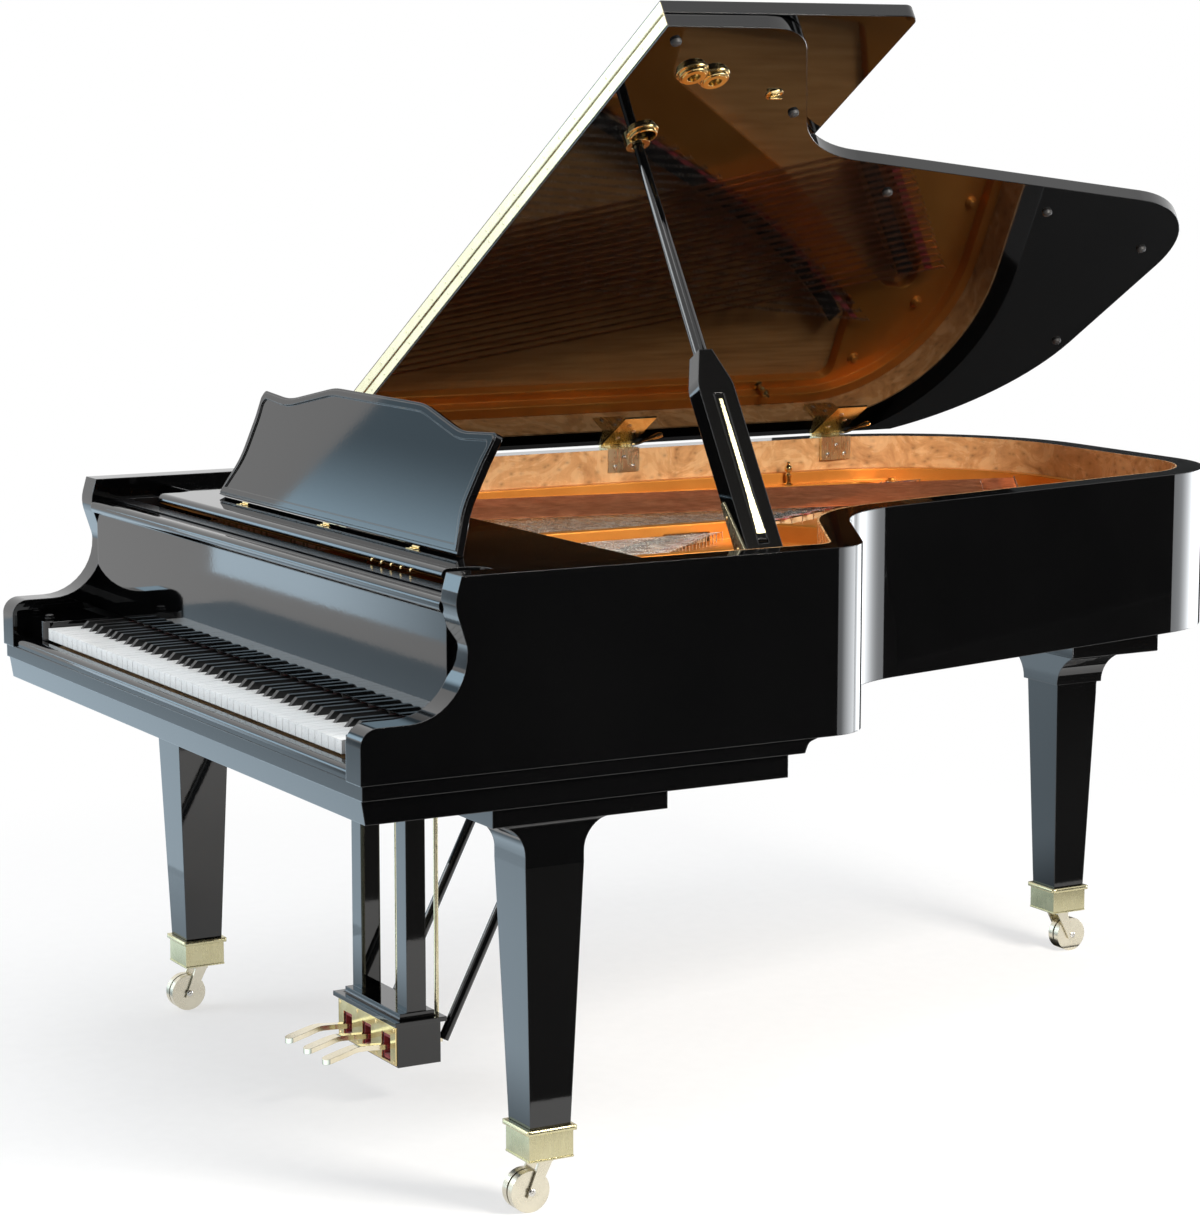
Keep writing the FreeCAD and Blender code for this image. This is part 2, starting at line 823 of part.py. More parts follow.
def make_strings():
    """One string of each note, with its tuning pin and its hitch pin."""
    plain, wound, pins, hitches = [], [], [], []
    pin = D.tuning_pin.value
    gap = D.clearance.value / 2
    for note in range(1, NOTE_COUNT + 1):
        start, end = string_run(note)
        size = (D.wound_wire if is_bass(note) else D.plain_wire).value
        level = (D.bass_level if is_bass(note) else D.string_level).value
        heading = (end - start).normalize()
        string = wire(start + heading * (pin * 2 + gap), end, size, level)
        (wound if is_bass(note) else plain).append(string)
        pins.append(square_pin(start, pin, D.plate_top.value, level + D.tuning_pin_rise.value / 2))
        hitch = end + heading * (D.hitch_pin.value * 2 + gap)
        hitches.append(square_pin(hitch, D.hitch_pin.value, D.plate_top.value, level + size * 2))
    node(feature("plain_strings", plain))
    node(feature("wound_strings", wound))
    node(feature("tuning_pins", pins))
    node(feature("hitch_pins", hitches))


# Back braces, belly rail, stretcher and shelf ledges

BRACE_SHARES = [
    ((-0.72, -0.4), (-0.5, 0.78)),
    ((-0.3, -0.4), (-0.3, 0.88)),
    ((0.2, -0.4), (-0.05, 0.86)),
]


def make_timbers():
    top = soundboard_bottom - D.rib_height
    belly = front + D.belly_from_front
    treble_belly = front + D.treble_belly_from_front
    step_x = plan(TREBLE_BELLY_SHARE, 0)[0]
    height = (D.rim_bottom, soundboard_bottom)
    bass_rail = box("belly_bass", (-inside, step_x), (belly, belly + D.belly_depth), height)
    treble_rail = box("belly_treble", (step_x, inside), (treble_belly, belly + D.belly_depth), height)
    timbers = [fuse("belly_rail", bass_rail, treble_rail)]
    stretcher = front + D.stretcher_from_front - D.stretcher_depth
    timbers.append(box("stretcher", (-inside, inside), (stretcher, stretcher + D.stretcher_depth),
                       (plate_bottom - D.pin_block_height, D.shelf_top - D.shelf_wall - D.clearance)))
    shelf_low = D.shelf_top - D.shelf_wall - D.clearance
    for name, side in (("ledge_bass", -1), ("ledge_treble", 1)):
        low, high = sorted((inside * side, (inside - D.ledge_width) * side), key=lambda size: size.value)
        timbers.append(box(name, (low, high), (stretcher + D.stretcher_depth, treble_belly),
                           (shelf_low - D.ledge_width, shelf_low)))
    inner = slab("brace_room", -D.rim_wall - D.inner_rim_wall, D.rim_bottom, top)
    for i, (start, end) in enumerate(BRACE_SHARES):
        bar = strut(f"brace_{i}", plan(*start), plan(*end))
        bind(bar, "Width", D.brace_width)
        bind(bar, "Height", top - D.rim_bottom)
        bind(bar, "Placement.Base.z", D.rim_bottom)
        timbers.append(common(f"back_brace_{i}", bar, inner))
    node(group("case_timbers", *timbers))


# Keys, their frame and the action

KEY_NAMES = ["c", "c_sharp", "d", "d_sharp", "e", "f", "f_sharp", "g", "g_sharp", "a", "a_sharp", "b"]
SHARP_SHIFT_SHARES = {1: -0.13, 3: 0.13, 6: -0.16, 8: 0.0, 10: 0.16}
WHITE_COUNT = 52
FIRST_PITCH = 9


def pitch_of(note):
    return (note - 1 + FIRST_PITCH) % len(KEY_NAMES)


def is_sharp(note):
    return 1 <= note <= NOTE_COUNT and pitch_of(note) in SHARP_SHIFT_SHARES


def white_pitch():
    return keyboard_width.value / WHITE_COUNT


def white_left(note):
    """Left side of a white key, or of the white key right of a sharp."""
    whites_before = sum(not is_sharp(n) for n in range(1, note))
    return -keyboard_width.value / 2 + whites_before * white_pitch()


def sharp_middle(note):
    return white_left(note) + white_pitch() * SHARP_SHIFT_SHARES[pitch_of(note)]


def white_key(note):
    """Head and tail of a white key; the tail passes between the sharps beside it."""
    gap = D.key_gap.value
    left = white_left(note) + gap / 2
    right = left + white_pitch() - gap
    beside = D.sharp_width.value / 2 + gap
    tail_left = sharp_middle(note - 1) + beside if is_sharp(note - 1) else left
    tail_right = sharp_middle(note + 1) - beside if is_sharp(note + 1) else right
    neck = key_front + D.key_head
    height = (key_bottom, D.key_top)
    return [
        block((left, right), (key_front, neck), height),
        block((tail_left, tail_right), (neck, key_front + D.key_length), height),
    ]


def sharp_key(note):
    """Stick of a black key and the bevelled sharp glued on it."""
    side = D.sharp_width.value / 2
    middle = sharp_middle(note)
    low = key_front + D.key_head + D.key_gap
    stick_top = D.key_top - D.key_gap * 2
    stick = block((middle - side, middle + side), (low, key_front + D.key_length), (key_bottom, stick_top))
    nose = low + D.sharp_length
    top = D.key_top + D.sharp_rise
    outline = [
        (low, stick_top),
        (low + D.sharp_bevel, top),
        (nose - D.sharp_bevel / 2, top),
        (nose, stick_top),
    ]
    points = [vec(middle - side, y, z) for y, z in outline]
    sharp = Part.Face(Part.makePolygon(points + points[:1])).extrude(vec(D.sharp_width))
    return [stick, sharp]


def make_keys():
    for pitch, name in enumerate(KEY_NAMES):
        notes = [n for n in range(1, NOTE_COUNT + 1) if pitch_of(n) == pitch]
        keys = [sharp_key(n) if is_sharp(n) else white_key(n) for n in notes]
        node(feature(f"keys_{name}", sum(keys, [])))


FRAME_BAR_SHARES = [-1.0, -0.33, 0.33, 1.0]


def make_key_frame():
    low = D.rim_bottom + D.clearance
    seat = key_bottom - D.clearance
    thin = low + D.action_bracket
    side = keyboard_width / 2
    wall = (side + D.action_beside_keys, side + D.action_beside_keys + D.action_bracket)
    pivot = key_front + D.key_balance
    rear = key_front + D.key_length
    hammer_y = key_front + D.hammer_pivot_back
    hammer_z = D.string_level - D.hammer_pivot_drop
    rail_front = hammer_y - D.rail_depth - D.rail_depth / 2
    rest_y = hammer_y + D.hammer_rest_back
    swing = math.radians(D.hammer_swing.value)
    rest_far = (D.hammer_rest_back + D.rail_depth) * math.tan(swing)
    rest_top = hammer_z - rest_far - D.hammer_shank_height / 2 / math.cos(swing) - D.clearance
    between = (-wall[0], wall[0])
    front_edge = key_front + D.rail_depth * 2
    balance = (pivot - D.rail_depth / 2, pivot + D.rail_depth / 2)
    back = (rear - D.rail_depth * 2, rear - D.rail_depth)
    bars = [
        box("front_rail", (-side, side), (key_front + D.clearance, front_edge), (low, thin)),
        box("balance_rail", (-wall[1], wall[1]), balance, (low, seat)),
        box("back_rail", between, back, (low, seat)),
        box("hammer_rail", between, (rail_front, rail_front + D.rail_depth),
            (hammer_z - D.rail_depth / 2, hammer_z + D.rail_depth / 2)),
        box("rest_rail", between, (rest_y, rest_y + D.rail_depth), (rest_top - D.rail_depth / 2, rest_top)),
    ]
    for i, share in enumerate(FRAME_BAR_SHARES):
        middle = (side - D.rail_depth) * share
        wide = (middle - D.rail_depth, middle + D.rail_depth)
        bars.append(box(f"front_bar_{i}", wide, (front_edge, balance[0]), (low, thin)))
        bars.append(box(f"rear_bar_{i}", wide, (balance[1], back[0]), (low, thin)))
    for name, across in (("end_treble", wall), ("end_bass", (-wall[1], -wall[0]))):
        bars.append(box(name, across, (rail_front, rest_y + D.rail_depth),
                        (low, hammer_z + D.rail_depth / 2)))
        bars.append(box(f"{name}_foot", across, (balance[1], rail_front), (low, seat)))
    node(group("key_frame", *bars))


def make_hammers():
    """A shank with its head, seen from the side, for each note."""
    y = (key_front + D.hammer_pivot_back).value
    z = (D.string_level - D.hammer_pivot_drop).value
    shank = D.hammer_shank
    thick = D.hammer_shank_height / 2
    depth = D.hammer_head_depth / 2
    wide = D.hammer_head_width
    side = [(ZERO, -thick), (shank + depth, -thick), (shank + depth, D.hammer_head_height),
            (shank - depth, D.hammer_head_height), (shank - depth, thick), (ZERO, thick)]
    points = [vec(-wide / 2, a, b) for a, b in side]
    form = Part.Face(Part.makePolygon(points + points[:1])).extrude(vec(wide))
    form.rotate(vec(), vec(x=1), -D.hammer_swing.value)
    hammers = []
    for note in range(1, NOTE_COUNT + 1):
        hammer = form.copy()
        hammer.translate(vec(note_x(note), y, z))
        hammers.append(hammer)
    node(feature("hammers", hammers))


UNDAMPED_SECTION = "treble"


def make_dampers():
    strike = (key_front + D.key_length).value
    y = (key_front + D.damper_back).value
    depth = D.damper_depth.value
    wire_half = D.damper_wire.value / 2
    top = D.damper_top.value
    dampers = []
    edges = []
    for note in range(1, SECTION_SPAN_SHARES[UNDAMPED_SECTION][0]):
        at_strike = vec(note_x(note), strike)
        heading = (bridge_place(note) - at_strike).normalize()
        x = (at_strike + heading * ((y - strike) / heading.y)).x
        level = (D.bass_level + D.wound_wire if is_bass(note) else D.string_level + D.plain_wire).value
        side = -1 if section_of(note)[0] == "tenor" else 1
        wire_x = x + side * note_step(note) / 2
        x_low = min(x - D.damper_width.value / 2, wire_x - wire_half)
        x_high = max(x + D.damper_width.value / 2, wire_x + wire_half)
        head = block((x_low, x_high), (y - depth / 2, y + depth / 2), (level + D.clearance.value, top))
        stem = block((wire_x - wire_half, wire_x + wire_half), (y - wire_half, y + wire_half),
                     (D.damper_tray_top, level + D.clearance.value))
        dampers.append(head.fuse(stem).removeSplitter())
        edges += [x_low, x_high]
    tray_half = D.damper_tray_height.value / 2
    dampers.append(block((min(edges), max(edges)), (y - tray_half, y + tray_half),
                         (D.damper_tray_top - D.damper_tray_height, D.damper_tray_top)))
    node(feature("dampers", dampers))


# Fallboard, music shelf and desk

DESK_SIDE_SHARES = [(1.0, 0.0), (0.935, 0.36), (0.945, 0.75), (0.965, 1.0)]
DESK_CREST_SHARES = [(0.71, 0.96), (0.37, 1.13)]
DESK_HINGE_SHARES = [-0.72, 0.0, 0.72]
SHELF_WIDE_SHARE = 0.8
RAIL_ROUND_SHARE = 0.95
DESK_ROUND_SHARE = 0.45
DESK_BORDER_SHARES = (0.33, 1.2)
DESK_HINGE_SHARE = 1.4


def make_fallboard():
    wall = inside - D.clearance
    face = front + D.fall_from_front
    rear = face + D.fall_wall
    rail_low = D.fall_top - D.fall_rail
    rail_round = D.fall_rail_stand * RAIL_ROUND_SHARE
    board = box("fall_board", (-wall, wall), (face, rear), (D.fall_bottom, D.fall_top))
    rail = pad("fall_rail_bar", "YZ", -wall, wall, [
        (face, rail_low),
        (face, D.fall_top),
        (face - D.fall_rail_stand, D.fall_top, rail_round),
        (face - D.fall_rail_stand, rail_low, rail_round),
    ])
    node(group("fallboard", board, rail))


def make_music_shelf():
    wall = inside - D.clearance
    low = D.shelf_top - D.shelf_wall
    face = front + D.shelf_from_front
    rear = face + D.shelf_depth
    middle = wall * SHELF_WIDE_SHARE
    right = [
        (middle, face),
        (middle, face + D.shelf_scoop, D.shelf_scoop / 2),
        (wall, face + D.shelf_scoop),
        (wall, rear),
    ]
    board = pad("shelf_board", "XY", low, D.shelf_top, right + mirror_x(right))
    nose = D.shelf_rail / 2
    rail_round = nose * RAIL_ROUND_SHARE
    rail = pad("shelf_rail_nose", "YZ", -middle, middle, [
        (face + nose, low),
        (face + nose, D.shelf_top),
        (face - nose, D.shelf_top, rail_round),
        (face - nose, low, rail_round),
    ])
    node(fuse("music_shelf", board, rail))


def desk_outline(shrink):
    """Half of the desk from its lower corner to the crest, drawn in by a border width."""
    wide = D.desk_half_width
    tall = D.desk_height
    bend = tall * DESK_ROUND_SHARE
    sides = [(wide * across - shrink, tall * up) for across, up in DESK_SIDE_SHARES]
    crest = [(wide * across, tall * up - shrink) for across, up in DESK_CREST_SHARES]
    right = [
        (sides[0][0], shrink),
        (*sides[1], bend),
        (*sides[2], bend),
        (sides[3][0], tall - shrink, bend / 8),
        (*crest[0], tall),
        (*crest[1], tall),
    ]
    return right + mirror_x(right)


def make_music_desk():
    board = pad("desk_board", "XY", ZERO, D.desk_wall, desk_outline(ZERO))
    moulding = pad("desk_moulding", "XY", D.desk_wall, D.desk_wall + D.desk_border,
                   *(desk_outline(D.desk_wall * share) for share in DESK_BORDER_SHARES))
    desk = fuse("music_desk", board, moulding)
    tilt = FreeCAD.Rotation(vec(x=1), 90 - D.desk_lean.value)
    seat = vec(ZERO, front + D.desk_from_front, D.shelf_top + D.clearance)
    desk.Placement = FreeCAD.Placement(seat, tilt)
    node(desk)
    hinges = []
    for i, share in enumerate(DESK_HINGE_SHARES):
        x = D.desk_half_width * share
        y = front + D.desk_from_front - D.desk_wall * DESK_HINGE_SHARE
        leaf = D.clearance * 2
        hinges.append(box(f"desk_hinge_{i}", (x - D.desk_wall, x + D.desk_wall),
                          (y - D.desk_wall, y), (D.shelf_top, D.shelf_top + leaf)))
    node(group("desk_hinges", *hinges))


# Lid, front flap and their hinges, drawn shut and then turned open

def cosine(angle):
    return Size(math.cos(math.radians(angle.value)), f"cos({angle.text})")


def sine(angle):
    return Size(math.sin(math.radians(angle.value)), f"sin({angle.text})")


def make_lid():
    opened = above(D.lid_angle.value)
    reach = D.cut_overrun * 2
    blank = slab("lid_blank", D.lid_overhang, lid_closed, lid_top)
    front_cut = box("lid_front_cut", (-half - reach, half + reach), (front - reach, flap_y),
                    (lid_closed - reach, lid_top + reach))
    spine_cut = box("lid_spine_cut", (-half - reach, lid_spine), (front - reach, tail + reach),
                    (lid_closed - reach, lid_top + reach))
    lid = cut("lid_main", blank, front_cut, spine_cut)
    lid.Placement = opened
    node(lid)
    folded = lid_top + D.flap_gap
    flap = pad("lid_front", "XY", folded, folded + D.lid_wall, [
        (lid_spine, flap_y),
        (lid_treble, flap_y),
        (lid_treble, flap_y + D.flap_depth, D.lid_wall),
        (lid_spine, flap_y + D.flap_depth, D.lid_wall),
    ])
    flap.Placement = opened
    node(flap)
    span = (lid_spine, lid_treble)
    leaf_y = (flap_y - D.flap_leaf, flap_y)
    axis_y = flap_y - D.flap_leaf - D.clearance
    axis_z = lid_top + D.flap_gap / 2
    leaf = box("front_hinge_leaf", span, leaf_y, (lid_closed + D.flap_gap, lid_top))
    knuckle = cylinder("front_hinge_knuckle", D.flap_knuckle, lid_treble - lid_spine,
                       (lid_spine, axis_y, axis_z), axis="x")
    hinge = fuse("lid_front_hinge", leaf, knuckle)
    hinge.Placement = opened
    node(hinge)
    flap_leaf = pad("flap_hinge_leaf", "XZ", *leaf_y, [
        (lid_spine, folded + D.flap_leaf),
        (lid_treble, folded + D.flap_leaf),
        (lid_treble, folded + D.lid_wall - D.flap_gap),
        (lid_spine, folded + D.lid_wall - D.flap_gap),
    ])
    flap_leaf.Placement = opened
    node(flap_leaf)


def make_lid_hinges():
    """Two butt hinges: a bent plate on the rim and a strap under the lid, on one pin line."""
    veneer_face = -inside + D.veneer_wall
    start = hinge_x + D.lid_knuckle + D.clearance
    rim_plates = []
    straps = []
    seat = ring("hinge_seat", ZERO, -D.rim_wall - D.veneer_wall, D.rim_bottom, D.rim_top)
    for name, middle, thick in (("near", front + D.lid_hinge_near, D.lid_leaf),
                                ("far", tail - D.lid_hinge_from_tail, D.lid_hinge_pack)):
        low = middle - D.lid_hinge_length / 2
        third = D.lid_hinge_length / 3
        room = D.clearance
        bent = pad(f"{name}_bent", "XZ", low, low + D.lid_hinge_length, [
            (start, D.rim_top),
            (veneer_face, D.rim_top),
            (veneer_face, D.rim_top - D.lid_hinge_reach),
            (veneer_face + thick, D.rim_top - D.lid_hinge_reach),
            (veneer_face + thick, D.rim_top + D.lid_leaf),
            (start, D.rim_top + D.lid_leaf),
        ])
        pieces = [bent]
        for i, begin in ((0, low), (2, low + third * 2)):
            pieces.append(box(f"{name}_tongue_{i}", (hinge_x, start), (begin, begin + third),
                              (D.rim_top, D.rim_top + D.lid_leaf)))
            pieces.append(cylinder(f"{name}_knuckle_{i}", D.lid_knuckle, third,
                                   (hinge_x, begin, hinge_z), "y"))
        rim_plates.append(cut(f"{name}_plate", fuse(f"{name}_plate_blank", *pieces), seat))
        begin = low + third + room
        tongue = third - room * 2
        strap = [
            box(f"{name}_strap_leaf", (start, hinge_x + D.lid_strap_reach), (low, low + D.lid_hinge_length),
                (lid_closed - D.lid_leaf, lid_closed)),
            box(f"{name}_strap_tongue", (hinge_x, start), (begin, begin + tongue),
                (lid_closed - D.lid_leaf, lid_closed)),
            cylinder(f"{name}_strap_knuckle", D.lid_knuckle, tongue, (hinge_x, begin, hinge_z), "y"),
        ]
        straps.append(fuse(f"{name}_strap", *strap))
    node(group("lid_hinge_plates", *rim_plates))
    return straps


# Prop: pivots inside the treble rim and stands square to the open lid

prop_y = front + D.prop_from_front
pivot_x = inside - D.prop_inset
pivot_z = D.rim_top - D.prop_pivot_drop
prop_from_hinge = pivot_x - hinge_x
prop_above_hinge = pivot_z - hinge_z
prop_local_x = hinge_x + prop_from_hinge * cosine(D.lid_angle) + prop_above_hinge * sine(D.lid_angle)
prop_local_z = hinge_z + prop_above_hinge * cosine(D.lid_angle) - prop_from_hinge * sine(D.lid_angle)
SPARE_CUP_SHARES = [(0.86, 1.0), (0.843, 1.062)]
STICK_TIP_SHARE = 0.7
FOOT_ROUND_SHARE = 0.48
BRACKET_DROP_SHARE = 0.6
CUP_DISH_SHARE = 0.55
CUP_DEPTH_SHARE = 0.67


def make_prop():
    opened = above(D.lid_angle.value)
    side = D.prop_blade_wall / 2
    broad = D.prop_blade_width / 2
    foot = prop_local_z - side
    blade_top = foot + D.prop_blade_length
    shoulder = blade_top + D.prop_shoulder
    blade = pad("prop_blade", "YZ", prop_local_x - side, prop_local_x + side, [
        (prop_y - broad, foot, side),
        (prop_y + broad, foot, side),
        (prop_y + broad, blade_top, D.prop_shoulder),
        (prop_y + D.prop_stick, shoulder),
        (prop_y - D.prop_stick, shoulder),
        (prop_y - broad, blade_top, D.prop_shoulder),
    ])
    stick = doc.addObject("Part::Cone", "prop_stick")
    tip = lid_closed - D.cup_height / 3 - D.clearance
    bind(stick, "Radius1", D.prop_stick)
    bind(stick, "Radius2", D.prop_stick * STICK_TIP_SHARE)
    bind(stick, "Height", tip - shoulder)
    place(stick, prop_local_x, prop_y, shoulder)
    outer_face = prop_local_x + side
    slot_low = prop_local_z + D.prop_blade_wall
    slot_top = slot_low + D.short_prop_length
    short_half = D.short_prop_width / 2
    slot = box("prop_slot", (outer_face - D.short_prop_wall - D.clearance, outer_face + side),
               (prop_y - short_half - D.clearance, prop_y + short_half + D.clearance),
               (slot_low - D.clearance, slot_top + D.clearance))
    bore = cylinder("prop_bore", D.prop_pin + D.running_fit, D.prop_blade_width * 2,
                    (prop_local_x, prop_y - D.prop_blade_width, prop_local_z), "y")
    prop = cut("lid_prop", fuse("prop_blank", blade, stick), slot, bore)
    prop.Placement = opened
    node(prop)
    short = pad("lid_prop_short", "XZ", prop_y - short_half, prop_y + short_half, [
        (outer_face - D.short_prop_wall, slot_low, D.short_prop_wall * FOOT_ROUND_SHARE),
        (outer_face, slot_low, D.short_prop_wall * FOOT_ROUND_SHARE),
        (outer_face, slot_top),
        (outer_face - D.short_prop_wall, slot_top),
    ])
    short.Placement = opened
    node(short)
    cheek_low = pivot_z - D.prop_blade_wall * BRACKET_DROP_SHARE
    cheek_high = pivot_z + D.prop_blade_wall / 2
    cheek_x = (pivot_x - D.prop_pin * 3, inside - D.veneer_wall)
    near = prop_y - broad - D.clearance
    far = prop_y + broad + D.clearance
    pin = cylinder("prop_pin_bar", D.prop_pin, far - near + D.prop_pin * 2,
                   (pivot_x, near - D.prop_pin, pivot_z), "y")
    node(fuse("prop_bracket",
              box("bracket_near", cheek_x, (near - D.prop_pin, near), (cheek_low, cheek_high)),
              box("bracket_far", cheek_x, (far, far + D.prop_pin), (cheek_low, cheek_high)),
              pin))
    cups = [cup("prop_cup", prop_local_x, prop_y)]
    for i, (x_share, y_share) in enumerate(SPARE_CUP_SHARES):
        cups.append(cup(f"spare_cup_{i}", half * x_share, front + D.prop_from_front * y_share))
    fittings = group("lid_fittings", *cups, *make_lid_hinges())
    fittings.Placement = opened
    node(fittings)


def cup(name, x, y):
    """A brass socket under the lid that takes the tip of a prop."""
    low = lid_closed - D.cup_height
    deep = D.cup_height * CUP_DEPTH_SHARE
    disc = cylinder(f"{name}_disc", D.cup_radius, D.cup_height, (x, y, low))
    dish = cylinder(f"{name}_dish", D.cup_radius * CUP_DISH_SHARE, deep * 2, (x, y, low - deep))
    return cut(name, disc, dish)


# Legs, ferrules and casters

LEG_COVE_SHARE = 0.75
SLIM_COVE_SHARE = 0.1
EVEN_CROWN_SHARE = 0.75
EVEN_COVE_SHARE = 0.6
WHEEL_WAIST_SHARE = 0.5
CHEEK_TOP_SHARE = 1.4
FORK_PLATE_SHARE = 1.6


def leg_places():
    """Middle of each leg in plan, which side its crown leans to and which way its caster trails."""
    spread = half - D.leg_from_side
    front_y = front + D.leg_from_front
    return {
        "front_treble": (spread, front_y, 1, -1),
        "front_bass": (-spread, front_y, -1, -1),
        "rear": (D.rear_leg_from_spine - half, tail - D.rear_leg_from_tail, 0, 1),
    }


def leg_profile(middle, low_side, high_side, low_cove, high_cove, top):
    """Outline of a leg in one view: crown plate, coves, tapered shaft and square foot."""
    neck = D.leg_neck / 2
    foot = D.leg_foot / 2
    plate = top - D.leg_crown_height
    bottom = D.ferrule_bottom + D.ferrule_wall * 2
    return [
        (middle - low_side, top),
        (middle - low_side, plate),
        (middle - neck, plate, low_cove),
        (middle - neck, plate - D.leg_cove),
        (middle - foot, D.ferrule_top),
        (middle - foot, bottom),
        (middle + foot, bottom),
        (middle + foot, D.ferrule_top),
        (middle + neck, plate - D.leg_cove),
        (middle + neck, plate, high_cove),
        (middle + high_side, plate),
        (middle + high_side, top),
    ]


def make_leg(name, x, y, side):
    cove = D.leg_cove * LEG_COVE_SHARE
    slim = D.leg_cove * SLIM_COVE_SHARE
    top = bed_bottom if side else D.rim_bottom
    even_crown = D.leg_crown_inner * EVEN_CROWN_SHARE
    even_cove = cove * EVEN_COVE_SHARE
    even = (even_crown, even_crown, even_cove, even_cove)
    x_sides = {
        1: (D.leg_crown_inner, D.leg_crown_outer, cove, slim),
        -1: (D.leg_crown_outer, D.leg_crown_inner, slim, cove),
        0: even,
    }[side]
    y_sides = (D.leg_crown_front, D.leg_crown_rear, cove, cove) if side else even
    reach = D.cut_overrun * 2
    front_view = pad(f"{name}_front_view", "XZ", y - reach, y + reach, leg_profile(x, *x_sides, top))
    side_view = pad(f"{name}_side_view", "YZ", x - reach, x + reach, leg_profile(y, *y_sides, top))
    blank = common(f"{name}_blank", front_view, side_view)
    return cut(f"{name}_leg", blank, stem_bore(f"{name}_leg_bore", x, y))


def stem_bore(name, x, y):
    return cylinder(name, D.stem_radius + D.running_fit, D.stem_length + D.clearance,
                    (x, y, D.ferrule_bottom))


def make_ferrule(name, x, y):
    foot = D.leg_foot / 2
    outer = foot + D.ferrule_wall
    collar = outer + D.ferrule_bead
    shell = box(f"{name}_shell", (x - outer, x + outer), (y - outer, y + outer),
                (D.ferrule_bottom, D.ferrule_top))
    bead = box(f"{name}_bead", (x - collar, x + collar), (y - collar, y + collar),
               (D.ferrule_top - D.ferrule_bead * 2, D.ferrule_top))
    room = box(f"{name}_room", (x - foot, x + foot), (y - foot, y + foot),
               (D.ferrule_bottom + D.ferrule_wall * 2, D.ferrule_top + D.cut_overrun))
    blank = fuse(f"{name}_ferrule_blank", shell, bead)
    return cut(f"{name}_ferrule", blank, room, stem_bore(f"{name}_ferrule_bore", x, y))


def make_caster(name, x, y, facing):
    half_wheel = D.wheel_width + D.wheel_parting / 2
    inner = half_wheel + D.clearance * 2
    outer = inner + D.fork_wall
    trail = y + D.fork_trail * facing
    plate_top = D.ferrule_bottom - D.clearance
    plate_low = plate_top - D.fork_plate
    lug = D.axle_radius * 2
    cheek_top = lug * CHEEK_TOP_SHARE
    plate_reach = lug * FORK_PLATE_SHARE
    cheek = [
        (y - cheek_top, plate_low + D.clearance),
        (trail - lug, D.wheel_radius - lug),
        (trail + lug, D.wheel_radius - lug, lug),
        (y + cheek_top, plate_low + D.clearance),
    ]
    fork = fuse(
        f"caster_{name}",
        pad(f"{name}_cheek_treble", "YZ", x + inner, x + outer, cheek),
        pad(f"{name}_cheek_bass", "YZ", x - outer, x - inner, cheek),
        box(f"{name}_fork_plate", (x - outer, x + outer), (y - plate_reach, y + plate_reach),
            (plate_low, plate_top)),
        cylinder(f"{name}_stem", D.stem_radius, D.stem_length, (x, y, plate_low)),
        cylinder(f"{name}_axle", D.axle_radius, outer * 2, (x - outer, trail, D.wheel_radius), "x"),
    )
    node(fork)
    bore = D.axle_radius + D.running_fit
    waist = D.wheel_radius * WHEEL_WAIST_SHARE
    slit = D.wheel_parting / 2
    wheel = turned(f"wheel_{name}", [
        (bore, -half_wheel),
        (D.wheel_radius, -half_wheel),
        (D.wheel_radius, -slit),
        (waist, -slit),
        (waist, slit),
        (D.wheel_radius, slit),
        (D.wheel_radius, half_wheel),
        (bore, half_wheel),
    ])
    wheel.Placement = FreeCAD.Placement(vec(x, trail, D.wheel_radius), FreeCAD.Rotation(vec(y=1), 90))
    node(wheel)


def make_legs():
    legs = []
    ferrules = []
    for name, (x, y, side, facing) in leg_places().items():
        legs.append(make_leg(name, x, y, side))
        ferrules.append(make_ferrule(name, x, y))
        make_caster(name, x, y, facing)
    node(group("legs", *legs))
    node(group("leg_ferrules", *ferrules))


# Pedal lyre

PEDALS = {"una_corda": -1, "sostenuto": 0, "sustain": 1}


CAP_COVE_SHARE = 0.6
PEDAL_HEIGHT_SHARE = 0.4
PEDAL_THROAT_SHARE = 0.55
PEDAL_TOE_SHARE = 0.9
PEDAL_SHOULDER_SHARE = 1.3


def cap_profile(middle, reach, low):
    """Outline of the lyre's cap in one view: a lip, a cove and a narrower top."""
    lip = D.lyre_cap_overhang
    cove = lip * CAP_COVE_SHARE
    top = low + D.lyre_cap_height
    return [
        (middle - reach - lip, low),
        (middle + reach + lip, low),
        (middle + reach + lip, low + lip),
        (middle + reach - lip, low + lip, cove),
        (middle + reach - lip, top),
        (middle - reach + lip, top),
        (middle - reach + lip, low + lip, cove),
        (middle - reach - lip, low + lip),
    ]


